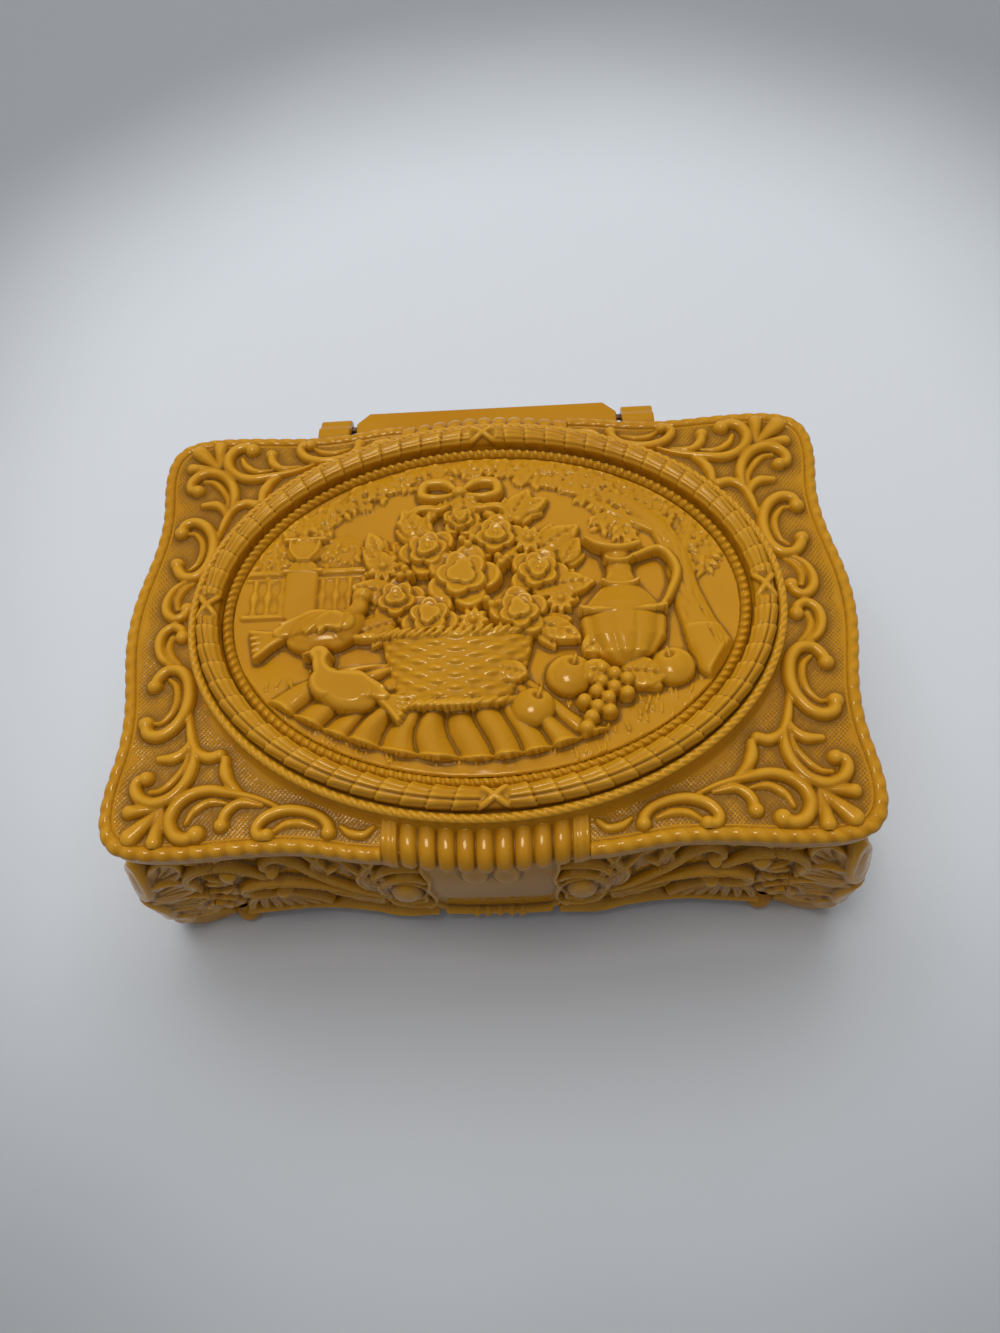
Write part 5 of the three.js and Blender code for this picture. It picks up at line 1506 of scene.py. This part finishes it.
def cloth(c, left, right, bow, folds, depth, base):
    """Cloth spread between two lines, gathered where they start, hemmed where they end.

    Bow is how far the hem hangs below a straight line, and folds where each fold's crest
    lies between the lines, with its height."""
    down = np.linspace(0, 1, 420)[:, None]
    over = np.linspace(0, 1, 700)[None, :]
    left, right = smooth_line(left), smooth_line(right)
    sides = [[np.interp(down, np.linspace(0, 1, len(line)), line[:, k]) for k in (0, 1)]
             for line in (left, right)]
    wander = over + 0.028 * np.sin(5.2 * down + 9 * over) * np.sin(math.pi * over)
    edges = np.array([0.0] + [(a[0] + b[0]) / 2 for a, b in zip(folds, folds[1:])] + [1.0])
    number = np.clip(np.searchsorted(edges, wander) - 1, 0, len(folds) - 1)
    start, end = edges[number], edges[number + 1]
    part = np.clip((wander - start) / (end - start), 0, 1)
    high = np.array([fold[1] for fold in folds])[number]
    skew = np.array([fold[2] for fold in folds])[number]
    crest = np.sin(math.pi * part ** skew) ** 0.75
    reach = 1 - 0.035 * (1 - crest) * (down > 0)
    x = sides[0][0] * (1 - over) + sides[1][0] * over
    y = sides[0][1] * (1 - over) + sides[1][1] * over
    fall = down * reach
    y = y - bow * 4 * over * (1 - over) * fall ** 1.4
    deepen = 0.35 + 0.65 * np.sin(math.pi * 0.5 * np.clip(down * 1.25, 0, 1))
    rise = base + depth * high * crest * deepen
    rise = rise + 0.4 * np.exp(-((1 - down - 0.012) / 0.011) ** 2)
    rise = rise * np.clip(over / 0.02, 0, 1) ** 0.5 * np.clip((1 - over) / 0.02, 0, 1) ** 0.5
    rise = rise * np.clip((1 - down) / 0.006, 0, 1) ** 0.5
    cols = np.clip(np.round((x - c.x[0]) / c.step).astype(int), 0, len(c.x) - 1)
    rows = np.clip(np.round((y - c.y[0]) / c.step).astype(int), 0, len(c.y) - 1)
    np.maximum.at(c.height, (rows, cols), rise)


def tree(c):
    """A leaning tree at the right, with bark, boughs and leaves across the top."""
    trunk = [(49.5, -16), (47, -8), (44.5, 2), (43.5, 11), (40, 19), (34, 25.5)]
    c.ridge(trunk, 8.0, 2.1, ends=(1.3, 0.95, 0.8, 0.75, 0.6, 0.45), base=0.3)
    c.ridge([(43.6, 9), (46.5, 15), (48, 21)], 4.0, 1.4, ends=(1, 0.7, 0.4), base=0.3)
    c.ridge([(41, 17), (31, 23), (21, 30), (13, 34)], 3.0, 1.2, ends=(1, 0.7, 0.5, 0.3), base=0.3)
    random = np.random.default_rng(5)
    for _ in range(26):
        t = random.uniform(0, 0.82)
        spots = smooth_line(trunk)
        i = int(t * (len(spots) - 14))
        shift = random.uniform(-3.0, 3.0) * (1 - 0.5 * t)
        bark = spots[i:i + random.integers(9, 14)] + (shift, 0)
        c.ridge(bark[::4], 0.65, 0.32, ends=(0.3, 1, 0.3), way="cut")
    for x, y, long, broad, turn, count, seed in (
            (30, 30, 11, 6.5, -34, 120, 31), (16, 36.5, 11, 4.4, -12, 100, 32),
            (41, 26, 8.5, 6.5, -50, 90, 33), (48.5, 14.5, 5.5, 8.5, -15, 80, 34),
            (0, 38.8, 9, 2.8, 0, 56, 35), (31, 20, 5.5, 3.6, -25, 44, 36),
            (-15, 36.8, 8, 3.2, 12, 60, 37), (-27, 32.6, 7, 3.2, 28, 60, 38),
            (-36, 27.2, 5, 2.6, 38, 40, 39)):
        foliage(c, x, y, long, broad, turn, count, seed)


def bow(c, x, y):
    """A ribbon bow with two loops, two tails and a knot."""
    for way in (-1, 1):
        c.ridge([(x, y), (x + way * 3.6, y + 3.2), (x + way * 8.2, y + 3.0),
                 (x + way * 8.8, y - 0.4), (x + way * 4.6, y - 1.4), (x, y)], 2.4, 1.4,
                ends=(0.5, 1, 1, 1, 0.8, 0.5), base=1.6)
        c.ridge([(x, y - 0.5), (x + way * 4.0, y - 4.4), (x + way * 9.5, y - 4.4),
                 (x + way * 13.5, y - 8.4)], 2.3, 1.1, ends=(0.6, 1, 0.9, 1.1), base=1.5)
        c.ridge([(x + way * 1.5, y - 1.8), (x + way * 4.4, y - 4.2), (x + way * 9.5, y - 4.3),
                 (x + way * 13, y - 8)], 0.5, 0.35, way="cut")
    c.dome(x, y, 1.9, 1.6, 1.6, base=2.2)


def still_life():
    """Heights of the plaque's picture above its ground."""
    half_x, half_y = PLAQUE_OVAL
    c = Carving(-half_x, half_x, -half_y, half_y, PLAQUE_STEP)
    x, y = np.meshgrid(c.x, c.y)
    # Far things: hills, the garden wall and the trees
    hill = 0.55 * np.exp(-((x + 40) / 17) ** 2 - ((y - 3) / 9) ** 2)
    hill += 0.45 * np.exp(-((x - 4) / 24) ** 2 - ((y - 0) / 8) ** 2)
    c.height += hill
    for fx, fy, flong, fbroad, count, seed in ((-48, 14, 5, 6, 60, 41), (-20, 12, 7, 6, 60, 42),
                                               (-33, 16, 6, 4, 44, 43)):
        foliage(c, fx, fy, flong, fbroad, 0, count, seed, base=0.15, leaf=2.0, rise=0.6)
    balustrade(c, -54, -16, 3.5, 0.3)
    urn(c, -41.5, 11.5, 0.5)
    tree(c)
    # Near ground: a bank with grass
    bank = np.clip((-15.0 + 2.2 * np.sin(x / 9) - y) / 5, 0, 1)
    c.height += bank * (0.75 + 0.12 * soft_noise(x.shape, 9, 6))
    random = np.random.default_rng(8)
    for _ in range(330):
        gx, gy = random.uniform(-53, 53), random.uniform(-39, -15)
        tall = random.uniform(1.4, 3.0)
        c.ridge([(gx, gy), (gx + random.uniform(-0.9, 0.9), gy + tall)], 0.6, 0.42,
                ends=(1, 0.4), way="on")
    # Cloth under the basket
    cloth(c, [(-19, -15), (-30, -15.5), (-40, -18.5), (-46.5, -22.5)],
          [(9, -19), (15, -24), (20, -28.5), (26.5, -31.5)], 10.5,
          [(0.04, 0.85, 1.3), (0.13, 1.0, 1.25), (0.23, 0.75, 1.3), (0.31, 1.05, 0.8),
           (0.42, 0.8, 1.3), (0.5, 1.0, 0.85), (0.6, 0.7, 1.2), (0.69, 1.0, 0.8),
           (0.79, 0.8, 0.75), (0.88, 1.0, 0.8), (0.96, 0.75, 0.7)], 2.2, 0.75)
    # The basket, its handle and bow
    handle = [(-20.5, -10), (-19.5, 6), (-14.5, 21), (-5.5, 28.5), (3.5, 21), (8.5, 6),
              (9.5, -10)]
    c.ridge(handle, 3.0, 1.7, base=0.5)
    arch = smooth_line(handle, 0.4)
    for i in range(4, len(arch) - 4, 4):
        px, py = arch[i]
        dx, dy = arch[i + 2] - arch[i - 2]
        run = math.hypot(dx, dy)
        nx, ny = -dy / run, dx / run
        c.ridge([(px - 1.6 * nx - 0.5 * dx, py - 1.6 * ny - 0.5 * dy),
                 (px + 1.6 * nx + 0.5 * dx, py + 1.6 * ny + 0.5 * dy)], 0.55, 0.45, way="cut",
                power=1)
    wicker_basket(c, -5.5, -7.5, -24.5, 17.0, 12.0, 3.4, 0.7)
    # Flowers and leaves
    for lx, ly, turn, long, broad in (
            (-19, 2, 165, 11, 3.2), (-20, 8, 140, 10, 3.0), (-14, 17, 120, 10, 3.0),
            (-4, 22, 95, 9.5, 3.0), (6, 21, 62, 10.5, 3.1), (13, 13, 35, 11, 3.2),
            (15, 3, 5, 10, 3.0), (12, -6, -28, 10.5, 3.1), (-20, -5, 200, 10, 3.0),
            (-9, -9, 255, 9.5, 2.9), (3, -8.5, 285, 9.5, 2.9), (-24, 13, 110, 7, 2.3),
            (18, 9, 60, 8, 2.4), (9, 24, 30, 7, 2.2)):
        c.leaf(lx, ly, turn, long, broad, 1.3, base=1.5, veins=5)
        for way in (-1, 1):
            c.leaf(lx, ly, turn + way * 34, long * 0.72, broad * 0.7, 1.0, base=0.9, veins=3)
    for rx, ry, radius, base, turn in (
            (3, 16.5, 6.6, 1.5, 10), (-12.5, 13.5, 6.6, 1.5, 40), (12.5, 6.5, 6.6, 1.7, 70),
            (-19, 0.5, 6.2, 1.6, 15), (-4.5, 6.0, 8.4, 2.2, 0), (8.0, -4.0, 6.4, 2.2, 25),
            (-11.5, -4.5, 6.3, 2.2, 55), (-5.0, 21.8, 4.4, 1.4, 80)):
        rose(c, rx, ry, radius, 3.3, base=base - 0.3, turn=turn)
    for dx, dy, radius, turn in ((-22.5, 9.5, 4.0, 5), (10.5, 15.5, 3.9, 20),
                                 (-2.0, -5.6, 3.6, 0), (17.2, -0.8, 3.5, 30)):
        daisy(c, dx, dy, radius, 1.5, 2.0, turn)
    for bx, by in ((-17.5, 8.2), (-16.3, 6.6), (-18.4, 6.4), (4.2, 8.6), (5.5, 9.9), (3.6, 10.4),
                   (-3.2, 14.2), (-4.6, 15.3), (-2.2, 15.8), (0.9, -0.9), (2.2, -2.2)):
        c.dome(bx, by, 1.05, 1.05, 1.1, base=2.7)
    bow(c, -5.5, 30.0)
    # The bouquet swells towards its middle
    swell = np.clip(1 - ((x + 4.5) / 27) ** 2 - ((y - 6) / 26) ** 2, 0, 1) ** 0.5
    c.height *= np.where(y > -8, 0.72 + 0.33 * swell, 1.0)
    # The ewer, the fruit and the doves
    ewer(c, 30.5, -7.0, 0.7)
    apple(c, 18.5, -19.6, 5.2, 3.0, 1.2, turn=70)
    apple(c, 40.0, -18.2, 4.8, 2.7, 1.0, turn=110)
    c.leaf(21.5, -14.5, 40, 8.5, 2.6, 1.1, base=2.0)
    c.leaf(9.5, -19.5, 165, 8, 2.6, 1.1, base=2.6)
    grapes(c, 27.5, -20.0, -118, 13.5, 5.6, 1.5, 9)
    c.leaf(29.5, -19.0, -10, 9.5, 3.6, 1.2, base=1.9)
    c.leaf(27.0, -18.5, 195, 8, 2.8, 1.2, base=2.5)
    apple(c, 10.5, -26.8, 4.7, 2.6, 1.6, turn=60)
    dove(c, -35.0, -6.6, 1, 0.75, lean=-4, big=1.05)
    dove(c, -29.0, -22.0, -1, 2.3, lean=6, big=0.92)
    # Nothing stands over the bead ring
    edge = 1 - np.sqrt((x / half_x) ** 2 + (y / half_y) ** 2)
    c.crisp(1.3, 0.3)
    c.height = np.minimum(c.height, np.clip(edge * 49, 0, None) * 1.5 - 0.2)
    c.height = np.clip(c.height, -0.2, PLAQUE_DEEP) + 0.035 * soft_noise(x.shape, 7, 2)
    return c


class TRINKET_OT_plaque(bpy.types.Operator):
    """The relief plaque and the bead ring round it"""
    bl_idname = "trinket.plaque"
    bl_label = "Plaque"

    def execute(self, context):
        ground = mm("rim_height") + 2.7
        carved = still_life()
        hollow = np.clip(0.8 * carved.hollows(0.8, 0.5) + 0.2 * carved.hollows(2.6, 2.0), 0, 1)
        x, y = np.meshgrid(carved.x, carved.y)
        keep = (x / PLAQUE_OVAL[0]) ** 2 + (y / PLAQUE_OVAL[1]) ** 2 < 1
        grid = np.stack([x, y, ground + carved.height], -1)
        relief = grid_piece("plaque_relief", grid, "lid", "celluloid", hollow,
                            keep=keep)
        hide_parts("lid_plaque")
        point, out, run = boss_loop(BEAD_STEP)
        length = len(point) * BEAD_STEP
        across = np.sin(np.linspace(-np.pi / 2, np.pi / 2, 15))
        pitch = length / round(length / 2.25)
        rise = rope(across[:, None], run[None, :], pitch, 1.7, slant=0.2, low=0.55)
        inset = np.concatenate([[8.3, 7.42, 7.42, 7.55], 8.65 + 1.1 * across, [10.2]])
        flat = np.zeros(len(point))
        z = np.vstack([flat - 2.1, flat - 1.9, flat + 0.2, flat + 0.5, rise + 0.05, flat - 0.25])
        grid = np.stack([point[:, 0] - inset[:, None] * out[:, 0],
                         point[:, 1] - inset[:, None] * out[:, 1], ground + z], -1)
        # Painted shade and grime on the low rows of the bead ring, painted highlight on the
        # beads' tops
        hollow = np.clip(0.8 - z * 0.3, 0, 0.8)
        grid_piece("plaque_beads", grid, "lid", "celluloid", hollow, ring=True)
        return {"FINISHED"}


# Linings

QUILT = 24  # from one dimple of the pad to the next, in millimetres


class TRINKET_OT_linings(bpy.types.Operator):
    """Velvet pad, wall linings and lid lining, and the finish of the hinge pins"""
    bl_idname = "trinket.linings"
    bl_label = "Linings and pins"

    def execute(self, context):
        self.build_pad()
        self.build_lid_lining()
        self.build_walls()
        steel = browned_steel()
        for side in ("left", "right"):
            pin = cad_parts[f"hinge_pin_{side}"]
            pin.data.materials.clear()
            pin.data.materials.append(steel)
        return {"FINISHED"}

    def build_pad(self):
        """A thin quilted pad: crowned, with a rolled edge and soft dimples."""
        low, high = cad_box("floor_pad")
        inset = mm("lid_length") / 2 - high[0]
        point, out, _ = lid_loop(PLAIN_STEP)
        bottom, top = low[2], high[2]
        rings = [(inset + 6, bottom), (inset + 0.8, bottom), (inset + 0.2, bottom + 0.4),
                 (inset + 0.05, bottom + 0.95), (inset + 0.25, top - 0.75),
                 (inset + 0.9, top - 0.3), (inset + 1.8, top - 0.12)]
        rows = [*swept(point, out, rings)]
        inner = point - (inset + 1.8) * out
        for share in np.linspace(0.97, 0.0, 44)[:-1]:
            flat = inner * share
            near = 1 - share
            dimple = np.cos(flat / QUILT * 2 * np.pi).prod(axis=1)
            z = top - 0.12 + 0.1 * min(1, near * 9) - 0.16 * np.clip(dimple, 0, 1) ** 3
            rows.append(np.column_stack([flat, z]))
        pad = grid_piece("floor_pad_velvet", np.array(rows), "base", "velvet",
                         ring=True, caps=(0, -1))
        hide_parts("floor_pad")

    def build_lid_lining(self):
        """A sheet of pile-covered card with a soft edge, nearly flat below the lid."""
        low, high = cad_box("lid_lining")
        inset = mm("lid_length") / 2 - high[0]
        point, out, _ = lid_loop(PLAIN_STEP)
        bottom, top = low[2], high[2]
        rings = [(inset + 8, top - 0.02), (inset + 0.2, top - 0.05), (inset, top - 0.35),
                 (inset + 0.1, bottom + 0.45), (inset + 0.6, bottom + 0.15),
                 (inset + 1.4, bottom + 0.03)]
        rows = [*swept(point, out, rings)]
        inner = point - (inset + 1.4) * out
        for share in np.linspace(0.96, 0.0, 40)[:-1]:
            flat = inner * share
            ripple = 0.05 * np.sin(flat[:, 0] / 9) * np.sin(flat[:, 1] / 7)
            rows.append(np.column_stack([flat, bottom + 0.08 + ripple]))
        lining = grid_piece("lid_lining_velvet", np.array(rows), "lid", "velvet",
                            ring=True, caps=(0, -1), flip=True)
        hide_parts("lid_lining")

    def build_walls(self):
        """A strip of pile-covered card along each wall, with soft edges."""
        point, out, _ = lid_loop(PLAIN_STEP)
        count = len(point)
        quarter = count // 4
        for number, name in enumerate(("lining_right", "lining_back", "lining_left",
                                       "lining_front")):
            low, high = cad_box(name)
            middle = number * quarter
            along = 1 - number % 2
            half = (high[along] - low[along]) / 2
            spots = np.arange(middle - quarter, middle + quarter + 1)
            place = point[spots % count] - 6.2 * out[spots % count]
            spots = spots[np.abs(place[:, along]) < half - 0.2]
            spots = np.arange(spots[0], spots[-1] + 1)
            rim, away = point[spots % count], out[spots % count]
            z0, z1 = low[2] + 0.05, high[2] - 0.05
            columns = []
            for k in range(len(spots)):
                ends = min(k, len(spots) - 1 - k)
                thin = min(1.0, 0.25 + ends * 0.3)
                section = []
                for z, face in ((z0 + 0.3, 0.05), (z0, 0.3), (z0, 0.7), (z0 + 0.4, 0.95),
                                (z0 + 4, 1.0), ((z0 + z1) / 2, 1.0), (z1 - 4, 1.0),
                                (z1 - 0.5, 0.95), (z1, 0.65), (z1, 0.3), (z1 - 0.4, 0.05)):
                    lean = 2.3 * (WALL_TOP - z) / (WALL_TOP - FLOOR_TOP)
                    inset = RIM_INSET + lean + 0.32 + 1.15 * face * thin
                    flat = rim[k] - inset * away[k]
                    section.append((flat[0], flat[1], z))
                columns.append(section)
            grid = np.array(columns).transpose(1, 0, 2)
            grid = np.concatenate([grid, grid[:1]])
            strip = grid_piece(f"{name}_velvet", grid, "base", "velvet", flip=True)
            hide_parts(name)


# Studio

CAMERA_PLACE = (13.42, -112.57, 232.4)
CAMERA_AIM = (3.40, -17.96, 55.0)
CAMERA_ROLL = -7.47
CAMERA_LENS, CAMERA_SENSOR = 24.98, 36.0


def build_camera():
    """The camera stands where the photograph was taken from."""
    data = bpy.data.cameras.new("camera")
    data.lens = CAMERA_LENS
    data.sensor_width = CAMERA_SENSOR
    data.clip_start = 0.01
    camera = bpy.data.objects.new("camera", data)
    bpy.context.scene.collection.objects.link(camera)
    place = Vector(CAMERA_PLACE) * MM
    look = (Vector(CAMERA_AIM) * MM - place).normalized()
    turn = look.to_track_quat("-Z", "Y").to_matrix().to_4x4()
    camera.matrix_world = (Matrix.Translation(place) @ turn
                           @ Matrix.Rotation(math.radians(CAMERA_ROLL), 4, "Z"))
    bpy.context.scene.camera = camera


def build_floor():
    """Pale paper, flat round the box and swept up far from it on every side. Its colour carries
    painted shade: darker in a ring round the box, lighter again far off, with a painted shadow in
    front of the box.
    """
    flat, bend, rise, rows, sides = 1.1, 0.7, 1.9, 20, 72
    profile = [(0.02, 0.0), (0.3, 0.0), (flat, 0.0)]
    for i in range(1, rows + 1):
        turn = math.pi / 2 * i / rows
        profile.append((flat + bend * math.sin(turn), bend * (1 - math.cos(turn))))
    profile.append((flat + bend, rise))
    verts = [(0.0, 0.0, 0.0)]
    for radius, z in profile:
        verts += [(radius * math.cos(2 * math.pi * k / sides),
                   radius * math.sin(2 * math.pi * k / sides), z) for k in range(sides)]
    faces = [(0, 1 + k, 1 + (k + 1) % sides) for k in range(sides)]
    for i in range(len(profile) - 1):
        near, far = 1 + i * sides, 1 + (i + 1) * sides
        faces += [(near + k, far + k, far + (k + 1) % sides, near + (k + 1) % sides)
                  for k in range(sides)]
    mesh = bpy.data.meshes.new("floor")
    mesh.from_pydata(verts, [], faces)
    mesh.shade_smooth()
    floor = bpy.data.objects.new("floor", mesh)
    bpy.context.scene.collection.objects.link(floor)
    material, tree, shader = new_material("floor_paper")
    place = add(tree, "ShaderNodeTexCoord").outputs["Object"]
    paper = rgba("paper")
    shade = tuple(c * 0.45 for c in paper[:3]) + (1.0,)
    far_paper = tuple(c * 0.85 for c in paper[:3]) + (1.0,)
    away = add(tree, "ShaderNodeVectorMath", operation="DISTANCE")
    tree.links.new(place, away.inputs[0])
    away.inputs[1].default_value = (0.01, 0.08, 0.0)
    spread = maths(tree, "ADD", away.outputs["Value"],
                   maths(tree, "MULTIPLY", noise(tree, place, 7, 2), 0.03))
    # Painted shade: the paper darkens away from the box, then lightens again far off
    painted_falloff = blend(tree, stretch(tree, spread, 0.15, 0.31), paper, shade)
    ground = blend(tree, stretch(tree, spread, 0.38, 1.0), painted_falloff, far_paper)
    squashed = add(tree, "ShaderNodeVectorMath", operation="MULTIPLY")
    tree.links.new(place, squashed.inputs[0])
    squashed.inputs[1].default_value = (0.4, 1.0, 1.0)
    # A painted shadow: a soft dark patch on the paper just in front of the box
    before = add(tree, "ShaderNodeVectorMath", operation="DISTANCE")
    tree.links.new(squashed.outputs[0], before.inputs[0])
    before.inputs[1].default_value = (0.0, -0.075, 0.0)
    painted_shadow = tuple(c * 0.72 for c in paper[:3]) + (1.0,)
    tree.links.new(blend(tree, stretch(tree, before.outputs["Value"], 0.055, 0.015, 0.0, 0.62),
                         ground, painted_shadow), shader.inputs["Base Color"])
    shader.inputs["Roughness"].default_value = 0.85
    mesh.materials.append(material)


def area_lamp(name, place, aim, size, power, tone):
    """A soft rectangular lamp, with its places and sizes in metres."""
    data = bpy.data.lights.new(name, "AREA")
    data.shape = "RECTANGLE"
    data.size, data.size_y = size
    data.energy = power
    data.color = tone
    lamp = bpy.data.objects.new(name, data)
    bpy.context.scene.collection.objects.link(lamp)
    lamp.location = place
    lamp.visible_camera = False
    look = Vector(aim) - Vector(place)
    lamp.rotation_euler = look.to_track_quat("-Z", "Y").to_euler()
    return lamp


def build_lamps():
    """A wide lamp far behind the box, a small one above it, and a faint even sky."""
    window = area_lamp("window", (-0.08, 0.62, 0.98), (0.0, 0.0, 0.03), (1.3, 0.9), 9.0,
                       (0.93, 0.975, 1.0))
    window.visible_glossy = False
    area_lamp("ceiling", (-0.12, -0.02, 1.0), (0.0, 0.0, 0.03), (0.28, 0.22), 2.6,
              (1.0, 0.98, 0.94))
    world = bpy.data.worlds.new("studio")
    world.use_nodes = True
    sky = world.node_tree.nodes["Background"]
    sky.inputs["Color"].default_value = (1.0, 0.96, 0.92, 1.0)
    sky.inputs["Strength"].default_value = 0.42
    bpy.context.scene.world = world


class TRINKET_OT_studio(bpy.types.Operator):
    """Floor, backdrop, lamps and camera"""
    bl_idname = "trinket.studio"
    bl_label = "Studio"

    def execute(self, context):
        build_floor()
        build_lamps()
        build_camera()
        return {"FINISHED"}


class TRINKET_PT_panel(bpy.types.Panel):
    """Sizes, colours and the steps that build the box"""
    bl_label = "Trinket Box"
    bl_space_type = "VIEW_3D"
    bl_region_type = "UI"
    bl_category = "Trinket Box"

    def draw(self, context):
        for group in (context.scene.trinket_sizes, context.scene.trinket_colours):
            for name in group.__annotations__:
                self.layout.prop(group, name)
        for step in STEPS:
            self.layout.operator(step.bl_idname)


STEPS = (TRINKET_OT_walls, TRINKET_OT_lid, TRINKET_OT_boss, TRINKET_OT_gadroons,
         TRINKET_OT_plaque, TRINKET_OT_linings, TRINKET_OT_studio)
CLASSES = (TrinketSizes, TrinketColours, *STEPS, TRINKET_PT_panel)


def register():
    for item in CLASSES:
        bpy.utils.register_class(item)
    bpy.types.Scene.trinket_sizes = PointerProperty(type=TrinketSizes)
    bpy.types.Scene.trinket_colours = PointerProperty(type=TrinketColours)


def unregister():
    del bpy.types.Scene.trinket_colours
    del bpy.types.Scene.trinket_sizes
    for item in reversed(CLASSES):
        bpy.utils.unregister_class(item)


def main():
    register()
    bpy.context.scene.view_settings.view_transform = "Standard"
    for step in STEPS:
        group, name = step.bl_idname.split(".")
        getattr(getattr(bpy.ops, group), name)()
    bpy.context.view_layer.update()


if __name__ == "__main__":
    main()
